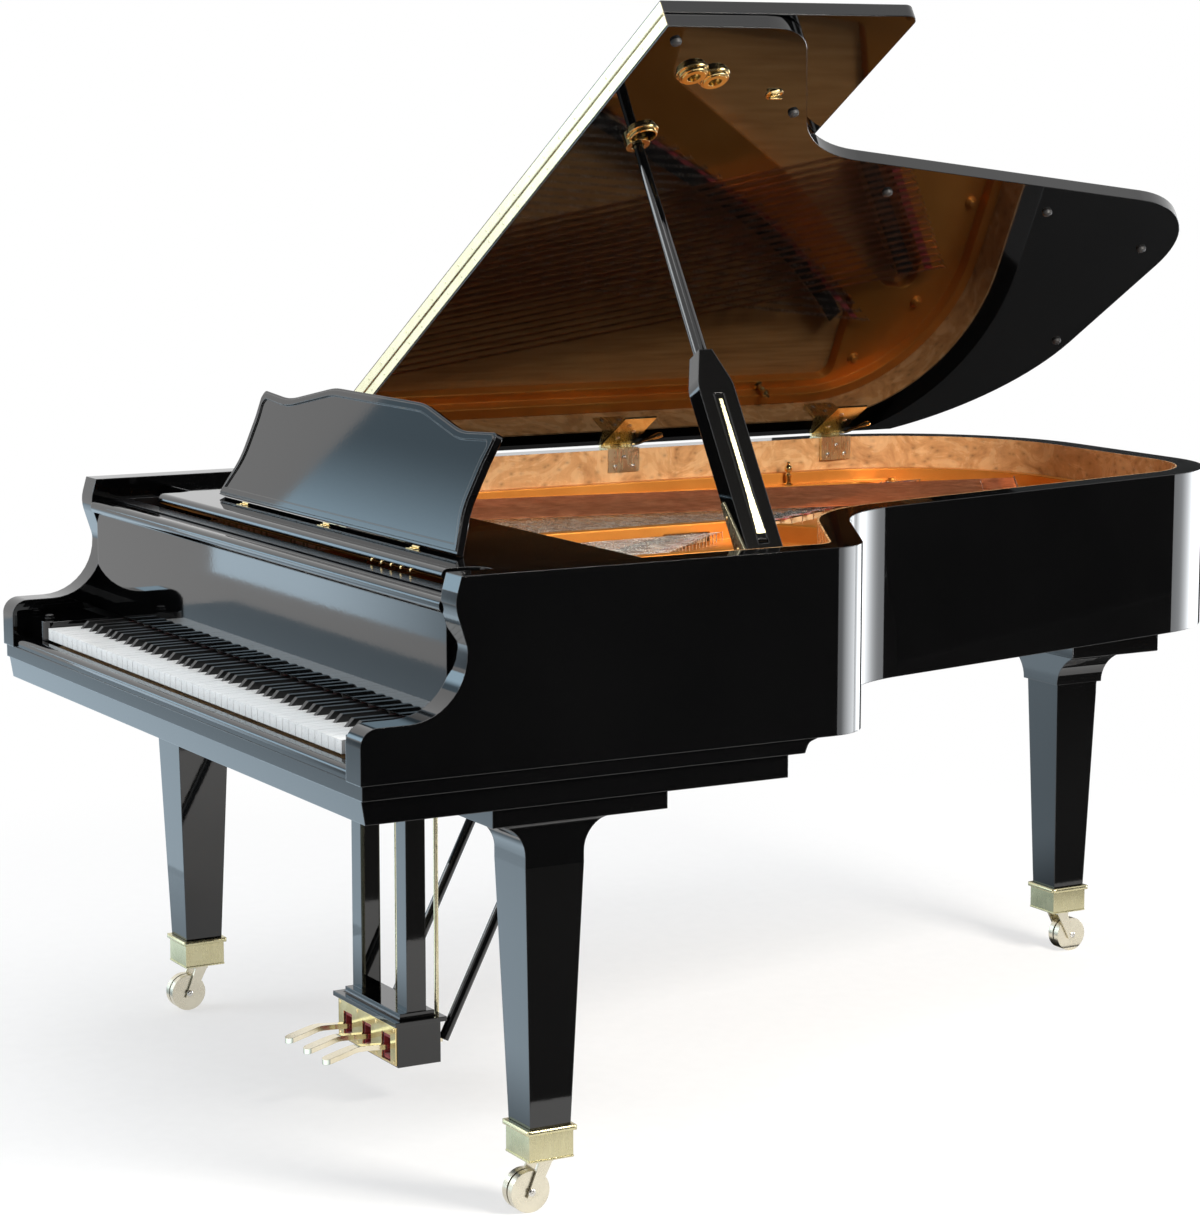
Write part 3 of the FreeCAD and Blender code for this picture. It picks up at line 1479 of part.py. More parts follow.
def make_lyre():
    y = front + D.lyre_from_front
    wide = D.lyre_box_width / 2
    deep = D.lyre_box_depth / 2
    box_top = D.lyre_box_bottom + D.lyre_box_height
    post = D.lyre_post / 2
    lip = D.lyre_cap_overhang
    pieces = [
        box("lyre_box", (-wide, wide), (y - deep, y + deep), (D.lyre_box_bottom, box_top)),
        common("lyre_cap",
               pad("lyre_cap_front", "XZ", y - deep - lip, y + deep + lip,
                   cap_profile(ZERO, wide, box_top)),
               pad("lyre_cap_side", "YZ", -wide - lip, wide + lip, cap_profile(y, deep, box_top))),
        box("lyre_head", (-wide, wide), (y - deep, y + deep),
            (bed_bottom - D.lyre_head_height, bed_bottom)),
    ]
    for name, side in (("bass", -1), ("treble", 1)):
        x = D.lyre_spread * side
        pieces.append(box(f"lyre_post_{name}", (x - post, x + post), (y - post, y + post),
                          (box_top, bed_bottom)))
    slots = []
    plate_slots = []
    pedal_z = D.lyre_box_bottom + D.lyre_box_height * PEDAL_HEIGHT_SHARE
    for name, step in PEDALS.items():
        x = D.pedal_spacing * step
        side = (x - D.pedal_slot_width / 2, x + D.pedal_slot_width / 2)
        tall = (pedal_z - D.pedal_slot_height / 2, pedal_z + D.pedal_slot_height / 2)
        slots.append(box(f"lyre_slot_{name}", side, (y - deep * 2, y + deep * 2), tall))
        plate_slots.append([(side[0], tall[0]), (side[1], tall[0]), (side[1], tall[1]), (side[0], tall[1])])
    hollow = cut("lyre_hollow", fuse("lyre_blank", *pieces), *slots)
    pivot = cylinder("pedal_pivot_bar", D.pedal_pivot, wide * 2 - post, (post / 2 - wide, y, pedal_z), "x")
    node(fuse("lyre_frame", hollow, pivot))
    inset = D.lyre_plate_wall
    node(pad("lyre_plate", "XZ", y - deep - D.lyre_plate_wall, y - deep, [
        (inset - wide, D.lyre_box_bottom + inset),
        (wide - inset, D.lyre_box_bottom + inset),
        (wide - inset, box_top - inset),
        (inset - wide, box_top - inset),
    ], *plate_slots))
    for name, step in PEDALS.items():
        make_pedal(name, D.pedal_spacing * step, y, deep, pedal_z)
    make_lyre_braces(y + deep)


def make_pedal(name, x, y, deep, z):
    """A brass pedal on the lyre's pivot bar, with the rod that it lifts behind the box."""
    thick = D.pedal_wall / 2
    slim = D.pedal_width / 2
    toe = y - deep - D.pedal_reach
    rod_y = y + deep + D.lyre_cap_overhang + D.pedal_rod + D.clearance * 2
    rear = rod_y + D.pedal_rod * 2
    throat = slim * PEDAL_THROAT_SHARE
    toe_round = slim * PEDAL_TOE_SHARE
    shoulder = toe + D.pedal_toe * PEDAL_SHOULDER_SHARE
    plan_view = pad(f"{name}_plan", "XY", z - D.cut_overrun, z + D.cut_overrun, [
        (x - throat, rear),
        (x - throat, y - deep - D.pedal_toe),
        (x - slim, shoulder),
        (x - slim, toe, toe_round),
        (x + slim, toe, toe_round),
        (x + slim, shoulder),
        (x + throat, y - deep - D.pedal_toe),
        (x + throat, rear),
    ])
    drop = D.pedal_wall
    side_view = pad(f"{name}_side", "YZ", x - D.pedal_width, x + D.pedal_width, [
        (rear, z + thick),
        (y - deep, z + thick),
        (toe + D.pedal_reach / 2, z + thick + drop / 2, D.pedal_reach / 2),
        (toe - drop, z - drop),
        (toe - drop, z - drop * 2),
        (toe + D.pedal_reach / 2, z - thick + drop / 2, D.pedal_reach / 2),
        (y - deep, z - thick),
        (rear, z - thick),
    ])
    hub = cylinder(f"{name}_hub", D.pedal_wall, D.pedal_width, (x - slim, y, z), "x")
    blank = fuse(f"{name}_blank", common(f"{name}_lever", plan_view, side_view), hub)
    bore = cylinder(f"{name}_bore", D.pedal_pivot + D.running_fit, D.pedal_width * 2,
                    (x - D.pedal_width, y, z), "x")
    node(cut(f"pedal_{name}", blank, bore))
    travel = D.pedal_wall
    node(cylinder(f"rod_{name}", D.pedal_rod, bed_bottom - z - thick - travel - D.clearance,
                  (x, rod_y, z + thick + D.clearance)))


def make_lyre_braces(rear):
    """Two slanted rods that hold the lyre back against the keybed."""
    radius = D.brace_rod.value
    low_z = (D.lyre_box_bottom + D.lyre_box_height / 2).value
    reach = (bed_rear - D.brace_rod_from_rear - rear).value
    tilt = math.atan2(reach, bed_bottom.value - low_z)
    foot = vec(y=rear.value + radius / math.cos(tilt) + D.clearance.value / 2, z=low_z)
    run = FreeCAD.Vector(0, math.sin(tilt), math.cos(tilt))
    end_z = bed_bottom.value - radius * math.sin(tilt) - D.clearance.value / 2
    length = (end_z - foot.z) / run.z
    rods = []
    for side in (-1, 1):
        x = side * (D.lyre_spread.value + D.lyre_post.value / 2)
        rods.append(Part.makeCylinder(radius, length, foot + vec(x), run))
    node(feature("lyre_braces", rods))


def write_parts():
    doc.recompute()
    faults = [o.Name for o in doc.Objects if {"Invalid", "Error"} & set(o.State)]
    for obj in NODES:
        if obj.Shape.isNull() or not obj.Shape.isValid() or not obj.Shape.Solids:
            faults.append(obj.Label)
    if faults:
        raise RuntimeError(f"these did not build: {sorted(set(faults))}")
    os.makedirs("parts", exist_ok=True)
    for obj in NODES:
        obj.Shape.exportStep(f"parts/{obj.Label}.step")


make_rim()
make_keybed()
make_soundboard()
make_plate()
make_strings()
make_timbers()
make_key_frame()
make_keys()
make_hammers()
make_dampers()
make_fallboard()
make_music_shelf()
make_music_desk()
make_lid()
make_prop()
make_legs()
make_lyre()
write_parts()
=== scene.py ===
import bmesh
import bpy
import math
from mathutils import Matrix, Vector


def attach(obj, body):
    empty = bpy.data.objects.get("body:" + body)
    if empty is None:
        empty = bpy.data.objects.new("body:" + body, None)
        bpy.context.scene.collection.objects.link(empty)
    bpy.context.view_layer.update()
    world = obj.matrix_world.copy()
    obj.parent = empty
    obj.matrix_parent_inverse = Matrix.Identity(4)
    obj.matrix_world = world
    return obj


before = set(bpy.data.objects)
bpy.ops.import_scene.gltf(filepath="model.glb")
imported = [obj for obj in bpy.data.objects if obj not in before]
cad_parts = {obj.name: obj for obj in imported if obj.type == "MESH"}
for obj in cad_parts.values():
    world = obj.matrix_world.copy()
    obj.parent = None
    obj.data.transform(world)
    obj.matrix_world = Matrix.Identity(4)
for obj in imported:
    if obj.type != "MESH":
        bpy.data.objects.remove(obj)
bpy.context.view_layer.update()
scene = bpy.context.scene
scene.view_settings.view_transform = "Standard"


# Node helpers

EVEN = (1.0, 1.0, 1.0)
WHITE = (1.0, 1.0, 1.0, 1.0)
# Places of the Mix node's sockets when it mixes colours
MIX_SHARE, MIX_FIRST, MIX_SECOND, MIX_RESULT = 0, 6, 7, 2


def fill(tree, socket, value):
    """Link an input to another node's output, or give it a plain value."""
    if isinstance(value, bpy.types.NodeSocket):
        tree.links.new(value, socket)
    else:
        socket.default_value = value


def add(tree, kind, inputs=None, **props):
    """A node with its properties set and its inputs filled or linked."""
    node = tree.nodes.new(kind)
    for name, value in props.items():
        setattr(node, name, value)
    for name, value in (inputs or {}).items():
        fill(tree, node.inputs[name], value)
    return node


def ramp(tree, fac, stops):
    """A colour ramp with (position, colour) stops; a colour may be one grey number."""
    node = add(tree, "ShaderNodeValToRGB", {"Fac": fac})
    elements = node.color_ramp.elements
    while len(elements) < len(stops):
        elements.new(0.5)
    for element, (position, colour) in zip(elements, stops):
        if not isinstance(colour, tuple):
            colour = (colour, colour, colour)
        element.position = position
        element.color = (*colour, 1.0)
    return node.outputs["Color"]


def tones(tree, fac, dark, light, low=0.3, high=0.7):
    """A ramp of two colours."""
    return ramp(tree, fac, [(low, dark), (high, light)])


def spread(tree, fac, low, high, start=0.0, end=1.0, **props):
    """A number that goes from low to high while another one goes from start to end."""
    node = add(tree, "ShaderNodeMapRange", {"Value": fac, "From Min": start, "From Max": end,
                                            "To Min": low, "To Max": high}, **props)
    return node.outputs["Result"]


def combine(tree, operation, first, second):
    """The result of a math operation on two numbers."""
    return add(tree, "ShaderNodeMath", {0: first, 1: second}, operation=operation).outputs[0]


def own_place(tree):
    """The piece's own coordinates in metres."""
    return add(tree, "ShaderNodeTexCoord").outputs["Object"]


def coordinate(tree, axis):
    """The piece's own coordinate along one axis, in metres."""
    return add(tree, "ShaderNodeSeparateXYZ", {"Vector": own_place(tree)}).outputs[axis]


def stretch(tree, scale=EVEN, turn=0.0):
    """The piece's own coordinates, scaled along each axis and turned about Z."""
    node = add(tree, "ShaderNodeMapping", {"Vector": own_place(tree), "Scale": scale,
                                           "Rotation": (0.0, 0.0, turn)})
    return node.outputs["Vector"]


def noise(tree, place, scale, detail=4.0, rough=0.55, warp=0.0):
    """The grey value of a noise texture."""
    node = add(tree, "ShaderNodeTexNoise", {"Vector": place, "Scale": scale, "Detail": detail,
                                            "Roughness": rough, "Distortion": warp})
    return node.outputs["Fac"]


def blend(tree, share, first, second, mode="MIX"):
    """Two colours mixed by a share of the second."""
    node = add(tree, "ShaderNodeMix", {MIX_SHARE: share, MIX_FIRST: first, MIX_SECOND: second},
               data_type="RGBA", blend_type=mode)
    return node.outputs[MIX_RESULT]


def bump(tree, height, strength, depth, normal=None):
    """A normal that follows a height of some depth in metres."""
    inputs = {"Height": height, "Strength": strength, "Distance": depth}
    if normal is not None:
        inputs["Normal"] = normal
    return add(tree, "ShaderNodeBump", inputs).outputs["Normal"]


def soft_edges(tree, radius):
    """A normal that rounds the piece's edges by a radius in metres."""
    return add(tree, "ShaderNodeBevel", {"Radius": radius}, samples=4).outputs["Normal"]


def blank(name):
    """A new material and its node tree."""
    made = bpy.data.materials.new(name)
    made.use_nodes = True
    return made, made.node_tree


def material(made, colour, roughness, normal, **sockets):
    """Fill a blank material's shader; other sockets are named with _ for a space."""
    shader = made.node_tree.nodes["Principled BSDF"]
    links = made.node_tree.links
    for socket, value in (("Base Color", colour), ("Roughness", roughness), ("Normal", normal)):
        links.new(value, shader.inputs[socket])
    for socket, value in sockets.items():
        shader.inputs[socket.replace("_", " ")].default_value = value
    return made


def show(tree, shader, output="Material Output"):
    """Make a shader the surface of a material or the world."""
    tree.links.new(shader.outputs[0], tree.nodes[output].inputs["Surface"])


# Materials

def ebony():
    made, tree = blank("ebony_lacquer")
    place = stretch(tree)
    mottle = noise(tree, place, 2.5)
    colour = tones(tree, mottle, (0.0007, 0.0007, 0.0008), (0.0016, 0.0016, 0.0017))
    haze = noise(tree, place, 9.0, detail=6.0)
    peel = noise(tree, place, 140.0, detail=1.0)
    normal = bump(tree, peel, 0.012, 0.0006, soft_edges(tree, 0.0022))
    return material(made, colour, spread(tree, haze, 0.02, 0.05), normal, IOR=1.62)


def satin_black():
    made, tree = blank("satin_black")
    grain = noise(tree, stretch(tree, (1.0, 0.12, 1.0)), 420.0)
    colour = tones(tree, grain, (0.006, 0.006, 0.0065), (0.014, 0.0135, 0.013), high=0.75)
    normal = bump(tree, grain, 0.06, 0.0004, soft_edges(tree, 0.0012))
    return material(made, colour, spread(tree, grain, 0.24, 0.4), normal, IOR=1.5)


def birdseye():
    made, tree = blank("birdseye_maple")
    place = stretch(tree, (1.0, 1.0, 1.5))
    figure = noise(tree, place, 13.0, detail=5.0, rough=0.6, warp=1.6)
    eyes = add(tree, "ShaderNodeTexVoronoi", {"Vector": place, "Scale": 46.0, "Randomness": 1.0})
    base = ramp(tree, figure, [(0.25, (0.34, 0.15, 0.055)), (0.48, (0.56, 0.3, 0.125)),
                               (0.72, (0.7, 0.44, 0.22))])
    ring = ramp(tree, eyes.outputs["Distance"], [(0.06, 0.45), (0.2, 0.8), (0.42, 1.0)])
    colour = blend(tree, 0.75, base, ring, "MULTIPLY")
    curl = noise(tree, stretch(tree, (1.0, 1.0, 0.25)), 70.0, warp=0.8)
    colour = blend(tree, 0.3, colour, tones(tree, curl, 0.55, 1.0), "MULTIPLY")
    normal = bump(tree, figure, 0.05, 0.0006)
    return material(made, colour, spread(tree, figure, 0.2, 0.34), normal, IOR=1.5,
                    Coat_Weight=0.4)


def wood(name, dark, mid, light, turn, rough):
    """Straight-grained timber whose grain runs along Y before the turn about Z."""
    made, tree = blank(name)
    grain = noise(tree, stretch(tree, (1.0, 0.05, 1.0), turn), 130.0, detail=6.0, warp=0.4)
    broad = noise(tree, stretch(tree, (1.0, 0.12, 1.0), turn), 7.0)
    colour = ramp(tree, grain, [(0.28, dark), (0.5, mid), (0.74, light)])
    colour = blend(tree, 0.35, colour, tones(tree, broad, 0.6, 1.0), "MULTIPLY")
    normal = bump(tree, grain, 0.12, 0.0006, soft_edges(tree, 0.001))
    return material(made, colour, spread(tree, grain, rough - 0.08, rough + 0.1), normal, IOR=1.48)


def part_stained(name, timber, stain, axis, start, end):
    """Timber that turns to a smooth stain between two places along one axis, in metres."""
    made = timber.copy()
    made.name = name
    tree = made.node_tree
    shader = tree.nodes["Principled BSDF"]
    share = spread(tree, coordinate(tree, axis), 0.0, 1.0, start, end)
    for socket, value in (("Base Color", stain), ("Roughness", (0.16, 0.16, 0.16, 1.0))):
        plain = shader.inputs[socket].links[0].from_socket
        tree.links.new(blend(tree, share, plain, value), shader.inputs[socket])
    return made


def bronze():
    made, tree = blank("bronze_plate")
    place = stretch(tree)
    flake = noise(tree, place, 900.0, detail=2.0)
    cloud = noise(tree, place, 5.0, detail=5.0)
    colour = ramp(tree, cloud, [(0.25, (0.6, 0.21, 0.03)), (0.55, (0.74, 0.29, 0.05)),
                                (0.8, (0.84, 0.38, 0.085))])
    colour = blend(tree, 0.18, colour, tones(tree, flake, 0.5, 1.0, 0.35, 0.65), "MULTIPLY")
    sand = noise(tree, place, 350.0, detail=3.0)
    normal = bump(tree, sand, 0.1, 0.0006, soft_edges(tree, 0.004))
    return material(made, colour, spread(tree, flake, 0.3, 0.46), normal, Metallic=0.72)


def metal(name, dark, light, low, high, brush=EVEN):
    """Polished or brushed metal with faint handling marks, its roughness from low to high."""
    made, tree = blank(name)
    scratch = noise(tree, stretch(tree, brush), 260.0, detail=5.0)
    cloud = noise(tree, stretch(tree), 28.0, detail=5.0)
    colour = tones(tree, cloud, dark, light)
    wear = blend(tree, 0.5, tones(tree, scratch, 0.0, 1.0), tones(tree, cloud, 0.0, 1.0))
    normal = bump(tree, scratch, 0.03, 0.0003, soft_edges(tree, 0.001))
    return material(made, colour, spread(tree, wear, low, high), normal, Metallic=1.0)


def wound_copper():
    made, tree = blank("wound_copper")
    coil = add(tree, "ShaderNodeTexWave", {"Vector": stretch(tree, (0.3, 1.0, 0.0)),
                                           "Scale": 260.0, "Distortion": 0.6},
               bands_direction="Y")
    cloud = noise(tree, stretch(tree), 40.0)
    colour = tones(tree, cloud, (0.5, 0.2, 0.1), (0.72, 0.34, 0.19))
    normal = bump(tree, coil.outputs["Fac"], 0.4, 0.0004)
    return material(made, colour, spread(tree, cloud, 0.25, 0.4), normal, Metallic=1.0)


def felt(name, dark, light):
    made, tree = blank(name)
    place = stretch(tree)
    fibre = noise(tree, place, 850.0, detail=8.0, rough=0.7)
    nap = noise(tree, place, 60.0, detail=5.0)
    colour = blend(tree, 0.45, tones(tree, nap, dark, light),
                   tones(tree, fibre, dark, light, high=0.75))
    return material(made, colour, spread(tree, fibre, 0.8, 1.0), bump(tree, fibre, 0.5, 0.0008),
                    Sheen_Weight=0.4, Sheen_Roughness=0.5)


def ivory():
    made, tree = blank("key_white")
    grain = noise(tree, stretch(tree, (1.0, 0.06, 1.0)), 240.0, detail=5.0)
    tone = noise(tree, stretch(tree, (1.0, 0.3, 1.0)), 38.0)
    colour = tones(tree, tone, (0.74, 0.745, 0.735), (0.83, 0.83, 0.815))
    colour = blend(tree, 0.06, colour, tones(tree, grain, 0.6, 1.0), "MULTIPLY")
    normal = bump(tree, grain, 0.02, 0.0003, soft_edges(tree, 0.0014))
    return material(made, colour, spread(tree, grain, 0.22, 0.36), normal, IOR=1.49)


def rubber():
    made, tree = blank("black_rubber")
    pore = noise(tree, stretch(tree), 500.0)
    colour = tones(tree, pore, (0.014, 0.014, 0.015), (0.03, 0.03, 0.031))
    return material(made, colour, spread(tree, pore, 0.45, 0.65), bump(tree, pore, 0.15, 0.0004))


BRUSHED = (1.0, 1.0, 0.08)  # marks that run up and down

EBONY = ebony()
SATIN = satin_black()
VENEER = birdseye()
SPRUCE = wood("spruce_board", (0.36, 0.17, 0.055), (0.5, 0.26, 0.095), (0.6, 0.34, 0.14),
              turn=0.9, rough=0.32)
MAPLE = wood("hard_maple", (0.42, 0.25, 0.12), (0.55, 0.36, 0.19), (0.64, 0.45, 0.27),
             turn=0.0, rough=0.42)
BEECH = wood("beech_timber", (0.38, 0.22, 0.11), (0.5, 0.31, 0.17), (0.58, 0.39, 0.23),
             turn=0.2, rough=0.5)
BLACK_FRONT = part_stained("beech_black_front", BEECH, (0.005, 0.005, 0.0055, 1.0),
                           "Y", -0.555, -0.56)
BLACK_CAP = part_stained("maple_black_cap", MAPLE, (0.012, 0.012, 0.013, 1.0),
                         "Z", 0.9195, 0.9205)
BRONZE = bronze()
BRASS = metal("polished_brass", (0.78, 0.56, 0.24), (0.88, 0.7, 0.37), 0.1, 0.22)
PALE_BRASS = metal("pale_brass", (0.74, 0.66, 0.42), (0.84, 0.77, 0.53), 0.2, 0.34, BRUSHED)
FERRULE_BRASS = metal("ferrule_brass", (0.58, 0.53, 0.32), (0.67, 0.62, 0.39), 0.2, 0.34, BRUSHED)
PEDAL_BRASS = metal("pedal_brass", (0.76, 0.68, 0.5), (0.86, 0.79, 0.62), 0.1, 0.22)
CASTER_BRASS = metal("caster_brass", (0.68, 0.63, 0.5), (0.8, 0.75, 0.61), 0.22, 0.36)
STEEL = metal("string_steel", (0.42, 0.4, 0.38), (0.56, 0.54, 0.51), 0.2, 0.34)
BRIGHT_STEEL = metal("nickel", (0.62, 0.6, 0.56), (0.74, 0.72, 0.68), 0.14, 0.26)
COPPER = wound_copper()
RED_FELT = felt("red_felt", (0.2, 0.008, 0.012), (0.4, 0.02, 0.025))
IVORY = ivory()
RUBBER = rubber()

LOOKS = {
    EBONY: ["outer_rim", "keybed", "key_slip", "key_blocks", "legs", "lyre_frame", "lyre_braces",
            "music_shelf", "music_desk", "fallboard", "lid_main", "lid_front", "lid_prop",
            "lid_prop_short", "dampers"],
    SATIN: ["keys_c_sharp", "keys_d_sharp", "keys_f_sharp", "keys_g_sharp", "keys_a_sharp"],
    VENEER: ["rim_veneer"],
    SPRUCE: ["soundboard"],
    MAPLE: ["inner_rim", "pin_block", "key_frame", "hammers"],
    BLACK_CAP: ["bridges"],
    BLACK_FRONT: ["case_timbers"],
    BRONZE: ["iron_plate"],
    BRASS: ["lyre_plate", "lid_fittings", "prop_bracket", "desk_hinges"],
    PEDAL_BRASS: ["pedal_una_corda", "pedal_sostenuto", "pedal_sustain"],
    FERRULE_BRASS: ["leg_ferrules"],
    PALE_BRASS: ["lid_hinge_plates", "lid_front_hinge", "flap_hinge_leaf", "rod_una_corda",
                 "rod_sostenuto", "rod_sustain"],
    CASTER_BRASS: ["caster_front_treble", "caster_front_bass", "caster_rear",
                   "wheel_front_treble", "wheel_front_bass", "wheel_rear"],
    STEEL: ["plain_strings", "hitch_pins"],
    BRIGHT_STEEL: ["tuning_pins"],
    COPPER: ["wound_strings"],
    IVORY: ["keys_c", "keys_d", "keys_e", "keys_f", "keys_g", "keys_a", "keys_b"],
}
for look, names in LOOKS.items():
    for name in names:
        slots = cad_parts[name].data.materials
        slots.clear()
        slots.append(look)


# Mesh helpers: they take millimetres, and the meshes are in metres

MM = 0.001
TINY = 1e-6
IDENTITY = Matrix.Identity(4)
UP, DOWN = (0.0, 0.0, 1.0), (0.0, 0.0, -1.0)
TO_PLAYER, TO_TREBLE = (0.0, -1.0, 0.0), (1.0, 0.0, 0.0)


def piece(name, mesh, look, body, slot, matrix=None, sharp=35.0):
    """Turn a bmesh into an object on a body, smooth up to an edge angle in degrees."""
    bmesh.ops.remove_doubles(mesh, verts=mesh.verts, dist=TINY)
    bmesh.ops.recalc_face_normals(mesh, faces=mesh.faces)
    if matrix is not None:
        mesh.transform(matrix)
    for face in mesh.faces:
        face.smooth = True
    for edge in mesh.edges:
        if len(edge.link_faces) == 2 and edge.calc_face_angle() > math.radians(sharp):
            edge.smooth = False
    data = bpy.data.meshes.new(name)
    mesh.to_mesh(data)
    mesh.free()
    data.materials.append(look)
    made = bpy.data.objects.new(name, data)
    scene.collection.objects.link(made)
    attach(made, body)


def aim(place, axis):
    """A matrix that puts the origin at a place, with Z along an axis."""
    turn = Vector(UP).rotation_difference(Vector(axis)).to_matrix().to_4x4()
    return Matrix.Translation(Vector(place) * MM) @ turn


def skin(mesh, low, high):
    """Add the faces between two loops of corners; a loop may be a single point."""
    for i in range(max(len(low), len(high))):
        j = i + 1
        corners = [low[i % len(low)], low[j % len(low)], high[j % len(high)], high[i % len(high)]]
        corners = list(dict.fromkeys(corners))
        if len(corners) > 2:
            mesh.faces.new(corners)


def lathe(mesh, profile, matrix, count):
    """Add a turned form from (radius, height) points, with a count of sides."""
    rings = []
    for radius, height in profile:
        if radius < TINY:
            rings.append([mesh.verts.new(matrix @ Vector((0.0, 0.0, height * MM)))])
            continue
        ring = []
        for i in range(count):
            angle = math.tau * i / count
            spot = Vector((radius * math.cos(angle), radius * math.sin(angle), height)) * MM
            ring.append(mesh.verts.new(matrix @ spot))
        rings.append(ring)
    for low, high in zip(rings, rings[1:]):
        skin(mesh, low, high)


def bar(mesh, matrix, x, y, z, rounding=0.0):
    """Add a block between low and high values along each axis, with rounded edges where asked."""
    made = bmesh.ops.create_cube(mesh, size=1.0)["verts"]
    for vert in made:
        spot = [low + (part + 0.5) * (high - low) for part, (low, high) in zip(vert.co, (x, y, z))]
        vert.co = Vector(spot) * MM
    if rounding:
        edges = {edge for vert in made for edge in vert.link_edges}
        result = bmesh.ops.bevel(mesh, geom=list(edges), offset=rounding * MM, segments=3,
                                 affect="EDGES", profile=0.6)
        made = list(set(made) & set(mesh.verts) | set(result["verts"]))
    bmesh.ops.transform(mesh, matrix=matrix, verts=made)


def cross_screw(mesh, matrix, radius, rise):
    """Add a low domed screw head whose cross is two thin bars just proud of it."""
    lathe(mesh, [(radius, 0.0), (radius, rise * 0.35), (radius * 0.8, rise * 0.8),
                 (radius * 0.45, rise), (0.0, rise)], matrix, 16)
    for turn in (0.4, 0.4 + math.pi / 2):
        spin = matrix @ Matrix.Rotation(turn, 4, "Z")
        bar(mesh, spin, (-radius * 0.7, radius * 0.7), (-radius * 0.1, radius * 0.1),
            (rise * 0.55, rise * 1.02))


def plate_of(mesh, outline, levels, place):
    """Add a plate with a flat outline between two levels; place makes a point of all three."""
    first, last = [[mesh.verts.new(Vector(place(a, b, level)) * MM) for a, b in outline]
                   for level in levels]
    mesh.faces.new(first)
    mesh.faces.new(last[::-1])
    skin(mesh, last, first)


def turned_set(name, profile, count, spots, *rest):
    """One piece of equal turned forms; the rest is what piece() takes after the mesh."""
    mesh = bmesh.new()
    for spot in spots:
        lathe(mesh, profile, spot, count)
    piece(name, mesh, *rest)


def screw_set(name, radius, rise, spots, *rest):
    """One piece of equal screws; the rest is what piece() takes after the mesh."""
    mesh = bmesh.new()
    for spot in spots:
        cross_screw(mesh, spot, radius, rise)
    piece(name, mesh, *rest)


def tube(name, points, radius, look, body, slot):
    """A round rod along points, as a mesh made from a bevelled curve."""
    curve = bpy.data.curves.new(name, "CURVE")
    curve.dimensions = "3D"
    curve.bevel_depth = radius * MM
    curve.bevel_resolution = 4
    curve.use_fill_caps = True
    line = curve.splines.new("POLY")
    line.points.add(len(points) - 1)
    for spot, point in zip(line.points, points):
        spot.co = (*(Vector(point) * MM), 1.0)
    holder = bpy.data.objects.new(name + "_line", curve)
    scene.collection.objects.link(holder)
    bpy.context.view_layer.update()
    shown = holder.evaluated_get(bpy.context.evaluated_depsgraph_get())
    data = bpy.data.meshes.new_from_object(shown)
    bpy.data.objects.remove(holder)
    mesh = bmesh.new()
    mesh.from_mesh(data)
    bpy.data.meshes.remove(data)
    piece(name, mesh, look, body, slot)


# Lid: its fittings are placed as on the shut lid and turned with it to the propped place

LID_ANGLE = math.radians(31.6)
LID_UNDERSIDE = 1005.0
HINGE_X, HINGE_Z = -730.0, 1004.5
HINGE = Vector((HINGE_X, 0.0, HINGE_Z)) * MM
LID_TURN = (Matrix.Translation(HINGE) @ Matrix.Rotation(-LID_ANGLE, 4, "Y")
            @ Matrix.Translation(-HINGE))
LEAF_FRONT = -444.5  # y of the long front hinge's face


def under_lid(x, y):
    return aim((x, y, LID_UNDERSIDE), DOWN)


def lid_fittings():
    """Buffers, lock rose, socket collars and the screws of the long front hinge."""
    buffers = ((732, -409), (256, 264), (174, 665), (25, 985), (-350, 1030), (522, -78))
    turned_set("lid_buffers", [(9, 0), (9, 2.5), (8, 5.5), (5, 7), (0, 7.4)], 20,
               [under_lid(*spot) for spot in buffers], RUBBER, "lid", "ebony", LID_TURN)
    lock = bmesh.new()
    lock_place = under_lid(579, -146)
    lathe(lock, [(15, 0), (15, 1.5), (12, 3), (7, 3.6), (6, 5), (0, 5.2)], lock_place, 28)
    bar(lock, lock_place, (-11, 11), (-2.4, 2.4), (4.5, 10), 1.6)
    piece("lid_lock_rose", lock, BRASS, "lid", "brass", LID_TURN)
    collar = [(21, 0), (27, 0), (27, 2), (25, 3.4), (22.4, 4), (22.4, 6.5), (23.6, 7.4),
              (23.6, 9), (22, 10), (20.2, 10)]
    sockets = ((462, -335), (645, -335), (632, -289))
    turned_set("prop_socket_collars", collar, 36, [under_lid(*spot) for spot in sockets],
               BRASS, "lid", "brass", LID_TURN)
    for name, body, height in (("lid_leaf_screws", "lid", 1017.5),
                               ("flap_leaf_screws", "lid_flap", 1039.0)):
        spots = [aim((-700.0 + i * 60.5, LEAF_FRONT, height), TO_PLAYER) for i in range(25)]
        screw_set(name, 3.0, 0.4, spots, PALE_BRASS, body, "brass", LID_TURN)


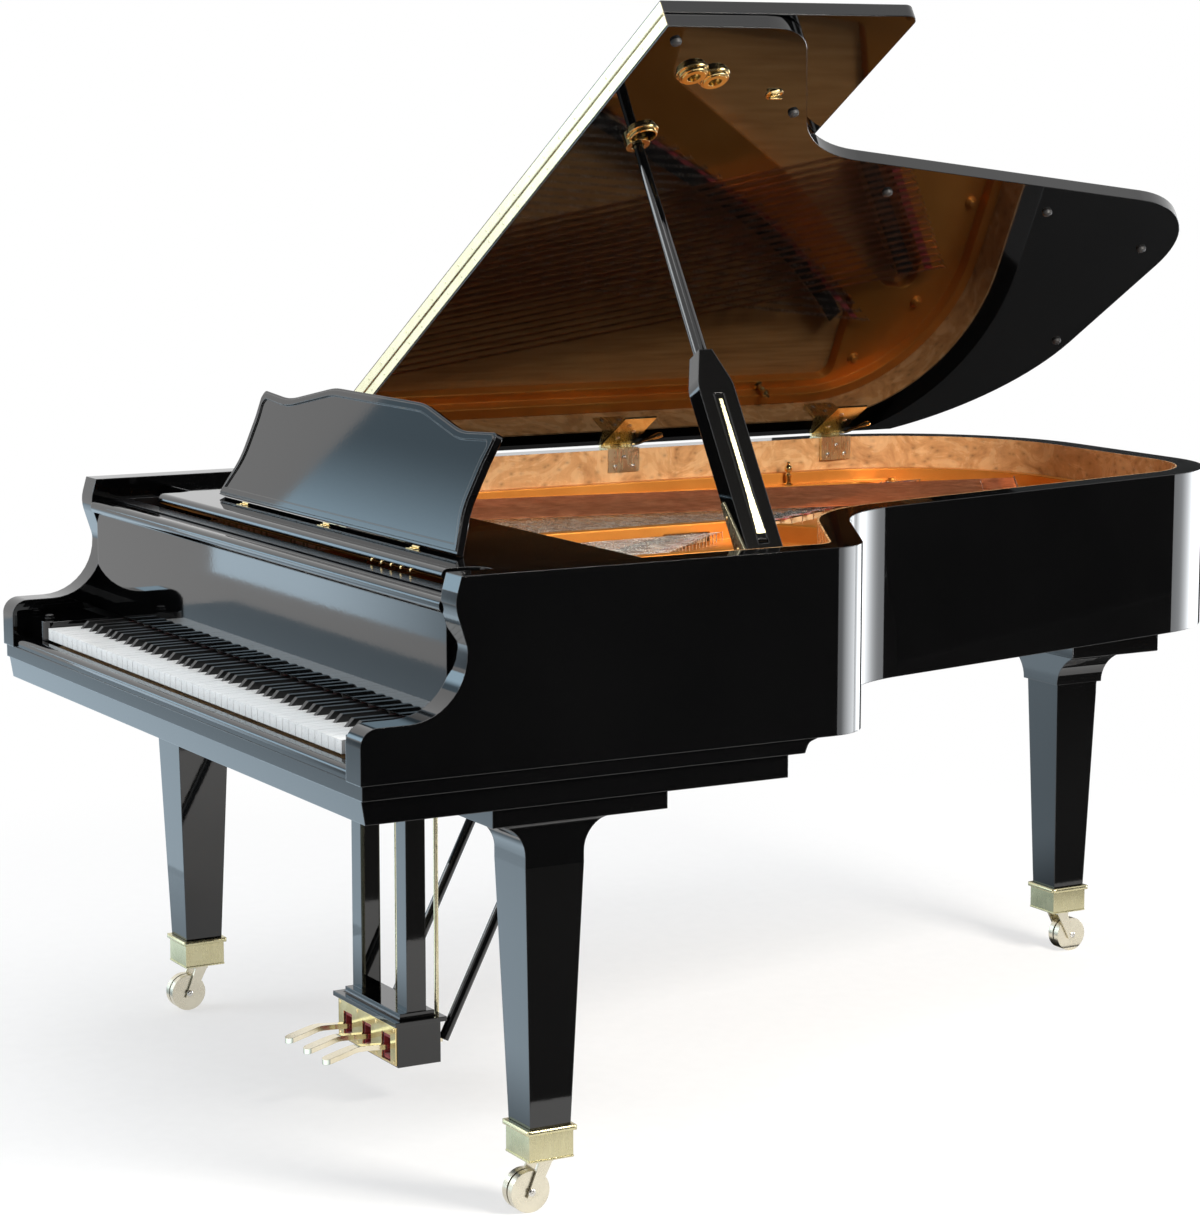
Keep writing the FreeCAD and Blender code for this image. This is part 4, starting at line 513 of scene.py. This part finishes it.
def lid_hinge_details():
    """Screws on the hinge plates and the lever-handled pins that hold the leaves together."""
    handle = [(0, 0), (3.2, 0.6), (3.6, 4), (5.4, 10), (6.0, 20), (4.6, 27), (0, 29)]
    for i, (y, face) in enumerate(((195.0, -695.0), (690.0, -688.0))):
        on_plate = ((-20, 966), (20, 966), (0, 984))
        screw_set(f"hinge_plate_screws_{i}", 5.0, 1.8,
                  [aim((face, y + dy, z), TO_TREBLE) for dy, z in on_plate],
                  BRIGHT_STEEL, "case", "steel")
        on_strap = ((35, -12), (62, 12), (90, -12))
        screw_set(f"hinge_strap_screws_{i}", 5.0, 1.6,
                  [aim((HINGE_X + dx, y + dy, 1003), DOWN) for dx, dy in on_strap],
                  BRIGHT_STEEL, "lid", "steel", LID_TURN)
        pin = [(HINGE_X, y - 34, HINGE_Z), (HINGE_X, y + 42, HINGE_Z), (-727, y + 50, 1006),
               (-716, y + 60, 1012), (-704, y + 78, 1019)]
        tube(f"hinge_pin_{i}", pin, 2.6, BRASS, "lid", "brass")
        turned_set(f"hinge_pin_handle_{i}", handle, 20,
                   [aim((-711, y + 68, 1015), (0.5, 0.75, 0.35))], BRASS, "lid", "brass")


# Plate, pedals, keyboard and desk

PLATE_TOP = 912.0


def on_plate_top(x, y):
    return aim((x, y, PLATE_TOP), UP)


def plate_details():
    """Bolts and the finial of the iron plate."""
    bolts = ((668, -560), (668, -460), (200, -745), (-200, -745), (-620, -745), (560, -250),
             (225, 152), (165, 420), (118, 700), (-30, 905), (-250, 950), (-480, 890),
             (-610, 775))
    turned_set("plate_bolts",
               [(13, 0), (13, 3), (11.5, 4.5), (8.5, 5), (8.5, 7.5), (7.6, 9), (0, 9.6)], 12,
               [on_plate_top(*spot) for spot in bolts], BRONZE, "case", "bronze_iron")
    finial = [(9.6, 0), (9.6, 3), (7.4, 4.5), (5.4, 6), (5.0, 16), (6.8, 18), (6.8, 21),
              (4.6, 23), (4.2, 26), (7.6, 30), (8.2, 34), (6.8, 38), (3.8, 41), (3.2, 42.5),
              (4, 44.5), (2.6, 47), (0, 47.6)]
    turned_set("plate_finial", finial, 24, [on_plate_top(-664.4, 560)], BRASS, "case", "brass")


def lyre_details():
    """Felts round the pedal slots and the screws of the lyre plate."""
    felts = bmesh.new()
    depth, sides = (-704, -688), (81.2, 118.8)
    for x in (-75, 0, 75):
        bar(felts, IDENTITY, (x - 16.8, x + 16.8), depth, (119, 126.6), 1.2)
        bar(felts, IDENTITY, (x - 16.8, x - 14.2), depth, sides, 0.8)
        bar(felts, IDENTITY, (x + 14.2, x + 16.8), depth, sides, 0.8)
        bar(felts, IDENTITY, (x - 14, x + 14), depth, (81.2, 88), 1.2)
    piece("pedal_slot_felts", felts, RED_FELT, "case", "ebony")
    spots = [aim((x, -708, z), TO_PLAYER) for x in (-105, -37, 37, 105) for z in (84, 138)]
    screw_set("lyre_plate_screws", 3.2, 1.0, spots, BRASS, "case", "brass")


def keyboard_details():
    """The felt strip under the fallboard and the knobs of the key blocks."""
    strip = bmesh.new()
    bar(strip, IDENTITY, (-612, 612), (-900, -889), (762.4, 763.9), 0.5)
    piece("name_felt", strip, RED_FELT, "fallboard", "ebony")
    knob = [(9, 0), (9, 0.8), (5, 1.3), (4.6, 2.4), (7.6, 3.8), (8.0, 5), (6, 6.4), (0, 7)]
    turned_set("key_block_knobs", knob, 22, [aim((x, -1012, 758), UP) for x in (-668, 668)],
               SATIN, "case", "ebony")


def desk_details():
    """Studs on the shelf's rail, and the desk hinges' pins and screws."""
    turned_set("shelf_rail_studs", [(3.2, 0), (3.2, 0.8), (2.2, 2.0), (0, 2.5)], 14,
               [aim((x, -841.9, 969), TO_PLAYER) for x in (319, 354, 388, 422, 456)],
               BRASS, "shelf", "brass")
    pins = bmesh.new()
    half_desk = 462
    for share in (-0.72, 0.0, 0.72):
        x = half_desk * share
        lathe(pins, [(0, 0), (2.2, 0.2), (2.2, 23.8), (0, 24)],
              aim((x - 12, -771.0, 986.4), TO_TREBLE), 16)
        for dx in (-7, 7):
            cross_screw(pins, aim((x + dx, -777.5, 985), UP), 2.4, 0.8)
    piece("desk_hinge_pins", pins, BRASS, "shelf", "brass")


# Prop, legs and casters

LEGS = {"front_treble": (672, -737), "front_bass": (-672, -737), "rear": (-225, 925)}
PROP_FOOT = Vector((667.0, -335.0, 965.0)) * MM
WEDGE_FACE = -34.4


def prop_details():
    """Brass in the prop's own upright frame: a strip up the short prop, a wedge at the foot."""
    upright = LID_TURN @ Matrix.Translation(LID_TURN.inverted() @ PROP_FOOT)
    strip = bmesh.new()
    outline = [(-8.0, 50.0), (8.0, 50.0), (5.0, 120.0), (3.2, 285.0), (-3.2, 285.0),
               (-5.0, 120.0)]
    plate_of(strip, outline, (16.9, 18.2), lambda y, z, x: (x, y, z))
    piece("short_prop_strip", strip, FERRULE_BRASS, "short_prop", "brass", upright, sharp=20.0)
    wedge = bmesh.new()
    outline = [(-17.0, 24.0), (12.0, 24.0), (-8.0, 118.0), (-17.0, 118.0)]
    plate_of(wedge, outline, (-32.4, WEDGE_FACE), lambda x, z, y: (x, y, z))
    piece("prop_side_wedge", wedge, PALE_BRASS, "prop", "brass", upright, sharp=20.0)
    spots = [aim((x, WEDGE_FACE, z), TO_PLAYER) for x, z in ((-6.0, 36.0), (-11.0, 92.0))]
    screw_set("prop_wedge_screws", 2.6, 0.9, spots, BRASS, "prop", "brass", upright)


def square_moulding(mesh, x, y, half, profile, corner):
    """Run a profile of (outset, height) points round a square with softened corners."""
    loops = []
    for outset, height in profile:
        loop = []
        for sx, sy, start in ((1, 1, 0), (-1, 1, 90), (-1, -1, 180), (1, -1, 270)):
            for step in range(5):
                angle = math.radians(start + step * 22.5)
                reach_x = half - corner + (corner + outset) * abs(math.cos(angle))
                reach_y = half - corner + (corner + outset) * abs(math.sin(angle))
                spot = Vector((x + sx * reach_x, y + sy * reach_y, height)) * MM
                loop.append(mesh.verts.new(spot))
        loops.append(loop)
    for low, high in zip(loops, loops[1:] + loops[:1]):
        skin(mesh, low, high)


def ferrule_beads():
    """A half-round collar and a thin foot lip on each ferrule."""
    beads = bmesh.new()
    half_ferrule = 38
    collar = [(-2, 128.6), (3.6, 128.8), (5.0, 130), (5.9, 132), (5.9, 134), (5.0, 136),
              (3.6, 137.2), (-2, 137.4)]
    lip = [(-1, 86.2), (1.2, 86.2), (1.6, 87.4), (1.2, 88.8), (-1, 89)]
    for x, y in LEGS.values():
        square_moulding(beads, x, y, half_ferrule, collar, 1.6)
        square_moulding(beads, x, y, half_ferrule, lip, 1.2)
    piece("ferrule_beads", beads, FERRULE_BRASS, "case", "brass")


def rear_leg_mount():
    """The mounting block under the tail and the coved crown that the rear leg stands against."""
    x = LEGS["rear"][0]
    half_block = 162.0
    block = bmesh.new()
    bar(block, IDENTITY, (x - half_block, x + half_block), (825.0, 1033.0), (621.0, 704.6), 3.0)
    piece("rear_leg_block", block, EBONY, "case", "ebony")
    neck, half_crown, low, rise, steps = 54.0, half_block - 2.0, 550.0, 71.0, 12
    side = []
    for i in range(steps + 1):
        angle = math.pi / 2 * i / steps
        side.append((neck + (half_crown - neck) * (1.0 - math.cos(angle)),
                     low + rise * math.sin(angle)))
    side.append((half_crown, low + rise + 2.0))
    outline = [(x + dx, z) for dx, z in side] + [(x - dx, z) for dx, z in reversed(side)]
    crown = bmesh.new()
    plate_of(crown, outline, (871.0, 979.0), lambda px, z, y: (px, y, z))
    piece("rear_leg_crown", crown, EBONY, "case", "ebony")


def caster_details():
    """Domed axle ends on each caster; the casters trail outwards."""
    for name, (x, y) in LEGS.items():
        axle_y = y + (24 if name == "rear" else -24)
        screw_set(f"axle_caps_{name}", 6.0, 2.6,
                  [aim((x + side * 20, axle_y, 33), (side, 0, 0)) for side in (-1, 1)],
                  BRIGHT_STEEL, f"caster_{name}", "brass")


# Strings, by shares of half the case's width and length; the bridges' lines are straight chords

HALF_WIDTH, HALF_LENGTH = 750.0, 1070.0
# First and last note of each section, and the places of both across the strike line
SECTIONS = {"bass": (1, 20, -0.853, -0.497), "tenor": (21, 43, -0.433, -0.037),
            "middle": (44, 66, 0.037, 0.4), "treble": (67, 88, 0.467, 0.835)}
# How far the first and last string of a section lean across on the way to the long bridge
LEANS = {"tenor": (-0.233, -0.03), "middle": (-0.02, -0.005), "treble": (0.0, 0.0)}
LONG_BRIDGE = [(0.84, -0.509), (0.46, -0.449), (0.027, -0.103), (-0.36, 0.3925),
               (-0.667, 0.645)]
BASS_BRIDGE = [(-0.16, 0.598), (-0.533, 0.776)]
NOTES = 88
LAST_SINGLE = 8  # the lowest notes have one string each
STRIKE_Y, AGRAFFE_Y, STRING_FRONT_Y = -600.0, -637.0, -648.0
PAST_BRIDGE = 80.0
WOUND = {"level": 933.4, "radius": 1.1, "bridge_top": 931.6, "felt_top": 932.0}
PLAIN = {"level": 926.5, "radius": 0.5, "bridge_top": 925.6, "felt_top": 926.0}


def plan(x, y):
    return Vector((HALF_WIDTH * x, HALF_LENGTH * y, 0.0))


def string_places(note):
    """Kind, strike point and bridge point of a note's string."""
    for name, (first, last, low, high) in SECTIONS.items():
        if first <= note <= last:
            break
    along = (note - first) / (last - first)
    strike = Vector((HALF_WIDTH * (low + (high - low) * along), STRIKE_Y, 0.0))
    if name == "bass":
        right, left = [plan(*share) for share in BASS_BRIDGE]
        return WOUND, strike, left.lerp(right, along)
    start, end = LEANS[name]
    x = strike.x + HALF_WIDTH * (start + (end - start) * along)
    line = [plan(*share) for share in LONG_BRIDGE]
    for right, left in zip(line, line[1:]):
        if left.x <= x <= right.x:
            return PLAIN, strike, right.lerp(left, (right.x - x) / (right.x - left.x))
    return PLAIN, strike, Vector((x, line[0].y, 0.0))


def at_depth(strike, heading, y):
    """The place on a string's line at a depth in the case."""
    return strike + heading * ((y - strike.y) / heading.y)


def strand(mesh, start, end, radius):
    """Add a straight round wire between two places."""
    run = end - start
    lathe(mesh, [(radius, 0.0), (radius, run.length)], aim(start, run), 6)


def bridge_span(line, heading, top):
    """Steps in millimetres along a string at which the bridge's top lies under it."""
    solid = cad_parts["bridges"]
    inverse = solid.matrix_world.inverted()
    down = inverse.to_3x3() @ Vector(DOWN)
    reach, start_z, drop = 60, 950.0, 30.0
    steps = []
    for step in range(-reach, reach + 1):
        spot = line + heading * step
        start = inverse @ (Vector((spot.x, spot.y, start_z)) * MM)
        found, place, _, _ = solid.ray_cast(start, down, distance=drop * MM)
        if found and abs((solid.matrix_world @ place).z - top * MM) < 0.5 * MM:
            steps.append(step)
    return steps


def strung_details():
    """The other strings of each unison, the bridge pins and the agraffes."""
    plain, wound, pins, agraffes = [bmesh.new() for _ in range(4)]
    pin, pin_side, pin_inset = [(0.9, 0), (0.9, 2.6), (0.5, 3.2), (0, 3.3)], 1.6, 4.0
    for note in range(1, NOTES + 1):
        kind, strike, bridge = string_places(note)
        heading = (bridge - strike).normalized()
        across = Vector((heading.y, -heading.x, 0.0))
        front = at_depth(strike, heading, STRING_FRONT_Y)
        rear = bridge + heading * PAST_BRIDGE
        offsets = [-2.4, 2.4]
        if kind is WOUND:
            offsets = [-4.8] if note > LAST_SINGLE else []
        for offset in offsets:
            lift = across * offset + Vector((0.0, 0.0, kind["level"]))
            strand(wound if kind is WOUND else plain, front + lift, rear + lift, kind["radius"])
        top = kind["bridge_top"]
        for side in (-pin_side, pin_side):
            for offset in [0.0] + offsets:
                line = bridge + across * (offset + side)
                span = bridge_span(line, heading, top)
                if not span:
                    continue
                spot = line + heading * (span[0] + pin_inset if side < 0 else span[-1] - pin_inset)
                lathe(pins, pin, aim((spot.x, spot.y, top), UP), 6)
        spot = at_depth(strike, heading, AGRAFFE_Y)
        height = kind["level"] - PLATE_TOP - 4.0
        lathe(agraffes, [(4.6, 0), (4.6, 6), (3.4, 7), (3.4, height - 0.2), (0, height)],
              on_plate_top(spot.x, spot.y), 10)
    piece("unison_plain_strings", plain, STEEL, "case", "steel")
    piece("unison_wound_strings", wound, COPPER, "case", "copper")
    piece("bridge_pins", pins, BRIGHT_STEEL, "case", "steel")
    piece("agraffes", agraffes, BRASS, "case", "brass")


def stringing_braid():
    """A felt strip per section behind the bridges, which dips between every second pair."""
    weave = bmesh.new()
    behind, half_strip, thick, sag = 52.0, 9.0, 1.6, 3.4
    for first, last, _, _ in SECTIONS.values():
        rows = []
        for note in range(first, last + 1):
            kind, strike, bridge = string_places(note)
            heading = (bridge - strike).normalized()
            places = [(bridge, 0.0)]
            if note < last:
                following = string_places(note + 1)[2]
                places.append((bridge.lerp(following, 0.5), sag if note % 2 else 0.0))
            for spot, dip in places:
                near = spot + heading * (behind - half_strip)
                far = spot + heading * (behind + half_strip)
                upper = kind["felt_top"] - dip
                lower = upper - thick
                corners = ((near, upper), (far, upper), (far, lower), (near, lower))
                rows.append([weave.verts.new(Vector((place.x, place.y, z)) * MM)
                             for place, z in corners])
        for row, following in zip(rows, rows[1:]):
            skin(weave, row, following)
        weave.faces.new(rows[0])
        weave.faces.new(rows[-1][::-1])
    piece("stringing_braid", weave, RED_FELT, "case", "ebony", sharp=60.0)


lid_fittings()
lid_hinge_details()
plate_details()
lyre_details()
keyboard_details()
desk_details()
prop_details()
ferrule_beads()
rear_leg_mount()
caster_details()
strung_details()
stringing_braid()


# Stage, in metres: floor, dark flags and light cards for the reflections, lamps, world, camera

ON_FLOOR = 0.006  # height of the cards that lie on the floor
FLOOR_REACH = 40.0
COOL = (0.7, 0.87, 1.0)
COLD = (0.6, 0.83, 1.0)
STREAK = (0.94, 0.97, 1.0)


def panel(name, corners, look):
    """A four-cornered sheet of the stage."""
    data = bpy.data.meshes.new(name)
    data.from_pydata(corners, [], [(0, 1, 2, 3)])
    data.materials.append(look)
    made = bpy.data.objects.new(name, data)
    scene.collection.objects.link(made)
    return made


def background_rays(tree):
    """1 for rays that should see the plain white background."""
    path = add(tree, "ShaderNodeLightPath").outputs
    seen = combine(tree, "MAXIMUM", path["Is Camera Ray"], path["Is Glossy Ray"])
    return combine(tree, "MAXIMUM", seen, path["Is Transmission Ray"])


def floor_look():
    """A matt floor that turns to plain white with the distance."""
    made, tree = blank("pale_floor")
    tree.nodes.remove(tree.nodes["Principled BSDF"])
    colour = tones(tree, noise(tree, stretch(tree), 30.0), 0.8, 0.84)
    matt = add(tree, "ShaderNodeBsdfDiffuse", {"Color": colour})
    glow = add(tree, "ShaderNodeEmission", {"Color": WHITE, "Strength": 1.0})
    distance = add(tree, "ShaderNodeVectorMath", {0: own_place(tree)}, operation="LENGTH")
    fade = spread(tree, distance.outputs["Value"], 0.62, 1.0, 1.1, 2.6)
    share = combine(tree, "MULTIPLY", fade, background_rays(tree))
    show(tree, add(tree, "ShaderNodeMixShader", {0: share, 1: matt.outputs[0],
                                                 2: glow.outputs[0]}))
    return made


def flag_look():
    made, tree = blank("dark_flag")
    cloth = noise(tree, stretch(tree), 40.0)
    colour = tones(tree, cloth, 0.004, 0.008)
    return material(made, colour, spread(tree, cloth, 0.9, 1.0), bump(tree, cloth, 0.1, 0.001))


def glow_look(name, colour, axis, span, strengths):
    """A glow that goes from one strength to another over a span along one axis."""
    made, tree = blank(name)
    tree.nodes.remove(tree.nodes["Principled BSDF"])
    power = spread(tree, coordinate(tree, axis), *strengths, *span,
                   interpolation_type="SMOOTHSTEP")
    show(tree, add(tree, "ShaderNodeEmission", {"Color": (*colour, 1.0), "Strength": power}))
    return made


def card(name, corners, look):
    """A studio card that only reflections see."""
    made = panel(name, corners, look)
    made.visible_camera = False
    made.visible_diffuse = False
    made.visible_shadow = False
    made.visible_transmission = False


def light_card(name, corners, *glow):
    """A card that shines; the rest is what glow_look() takes."""
    card(name, corners, glow_look(*glow))


def wall(start, end, low, high):
    """Corners of an upright sheet over a line on the floor."""
    return [(*start, low), (*end, low), (*end, high), (*start, high)]


def patch(x, y, height=ON_FLOOR):
    """Corners of a level sheet."""
    return [(x[0], y[0], height), (x[1], y[0], height), (x[1], y[1], height), (x[0], y[1], height)]


panel("floor", patch((-FLOOR_REACH, FLOOR_REACH), (-FLOOR_REACH, FLOOR_REACH), 0.0), floor_look())
FLAG = flag_look()
card("flag_treble", wall((2.6, -9.0), (2.6, 6.0), 0.01, 3.2), FLAG)
card("flag_tail", wall((2.6, 6.0), (-0.2, 6.0), 0.01, 3.2), FLAG)
card("flag_floor", patch((-3.6, -0.2), (0.9, 3.7)), FLAG)
card("flag_floor_treble", patch((1.52, 2.62), (-1.3, 6.0)), FLAG)
card("flag_floor_rear", patch((0.2, 1.52), (1.15, 3.2)), FLAG)
card("flag_floor_leg", patch((1.12, 1.52), (-1.3, 1.15)), FLAG)
card("flag_back", wall((-1.0, 2.0), (-3.0, 2.0), 1.14, 2.4), FLAG)
card("flag_prop", patch((1.4, 2.9), (0.3, 2.0), 3.4), FLAG)
light_card("bright_card", wall((1.42, 3.4), (-0.14, 3.5), 0.0, 1.1),
           "bright_glow", STREAK, "X", (-0.6, 1.2), (9.5, 2.0))
light_card("streak_card", wall((-0.14, 3.5), (-2.9, 2.0), 0.0, 1.1),
           "streak_glow", STREAK, "X", (-1.25, -0.75), (0.05, 9.0))
light_card("cheek_card", wall((0.76, 0.5), (1.9, 0.85), 0.3, 1.05),
           "cheek_glow", STREAK, "X", (0.8, 1.8), (6.5, 1.5))
light_card("floor_card_front", patch((-5.4, 0.25), (-3.19, -1.15)),
           "floor_glow", COOL, "Y", (-3.2, -1.4), (0.6, 2.1))
light_card("floor_card_left", patch((-4.4, -1.0), (-1.15, 0.7)),
           "left_glow", COOL, "X", (-4.4, -1.0), (1.6, 1.2))
light_card("leg_card_front", patch((-5.4, 0.45), (-1.15, -0.82)),
           "leg_front_glow", COOL, "Y", (-1.15, -0.84), (2.1, 0.5))
light_card("leg_card_rear", patch((-1.0, -0.3), (-0.3, 0.84)),
           "leg_rear_glow", COOL, "X", (-1.0, -0.45), (1.2, 0.35))
light_card("fall_card", wall((-5.6, -3.2), (-2.8, -3.2), 0.08, 1.2),
           "fall_glow", COOL, "X", (-4.9, -3.1), (2.9, 0.25))
light_card("desk_card", wall((-6.4, -3.2), (-3.2, -3.2), 1.5, 3.6),
           "desk_glow", COLD, "Z", (2.2, 2.95), (3.4, 0.6))


def softbox(name, place, target, size, power, colour=(1.0, 1.0, 1.0)):
    """A rectangular lamp that faces a target."""
    data = bpy.data.lights.new(name, "AREA")
    data.shape = "RECTANGLE"
    data.size, data.size_y = size
    data.energy = power
    data.color = colour
    made = bpy.data.objects.new(name, data)
    made.location = place
    facing = Vector(target) - Vector(place)
    made.rotation_euler = facing.to_track_quat("-Z", "Y").to_euler()
    scene.collection.objects.link(made)


softbox("overhead", (0.2, -0.6, 4.6), (0.0, 0.0, 0.6), (3.6, 3.6), 130.0)
softbox("front_panel", (-3.0, -5.5, 3.2), (0.0, -0.6, 0.8), (3.4, 2.8), 150.0, (0.9, 0.96, 1.0))
softbox("inside_lamp", (2.9, 0.95, 2.9), (-0.6, 0.35, 0.95), (1.2, 1.2), 230.0, (1.0, 0.95, 0.87))


def studio_world():
    """White where it is seen, and a dimmer, cooler light on everything."""
    world = bpy.data.worlds.new("studio")
    scene.world = world
    world.use_nodes = True
    tree = world.node_tree
    ambient = tree.nodes["Background"]
    ambient.inputs["Color"].default_value = (0.93, 0.96, 1.0, 1.0)
    ambient.inputs["Strength"].default_value = 0.55
    white = add(tree, "ShaderNodeBackground", {"Color": WHITE, "Strength": 1.0})
    mixed = add(tree, "ShaderNodeMixShader", {0: background_rays(tree), 1: ambient.outputs[0],
                                              2: white.outputs[0]})
    show(tree, mixed, "World Output")


def photo_camera():
    """The camera fitted to the photo."""
    lens = bpy.data.cameras.new("camera")
    lens.sensor_width = 36.0
    lens.lens = 100.475
    lens.shift_x = -0.01252
    lens.shift_y = 0.01681
    lens.clip_end = 200.0
    camera = bpy.data.objects.new("camera", lens)
    place = Matrix.Translation((5.09735, -3.13199, 1.68596))
    yaw, pitch, roll = math.radians(60.27), math.radians(8.91), math.radians(0.08)
    camera.matrix_world = (place @ Matrix.Rotation(yaw, 4, "Z")
                           @ Matrix.Rotation(math.pi / 2 - pitch, 4, "X")
                           @ Matrix.Rotation(roll, 4, "Z"))
    scene.collection.objects.link(camera)
    scene.camera = camera


studio_world()
photo_camera()
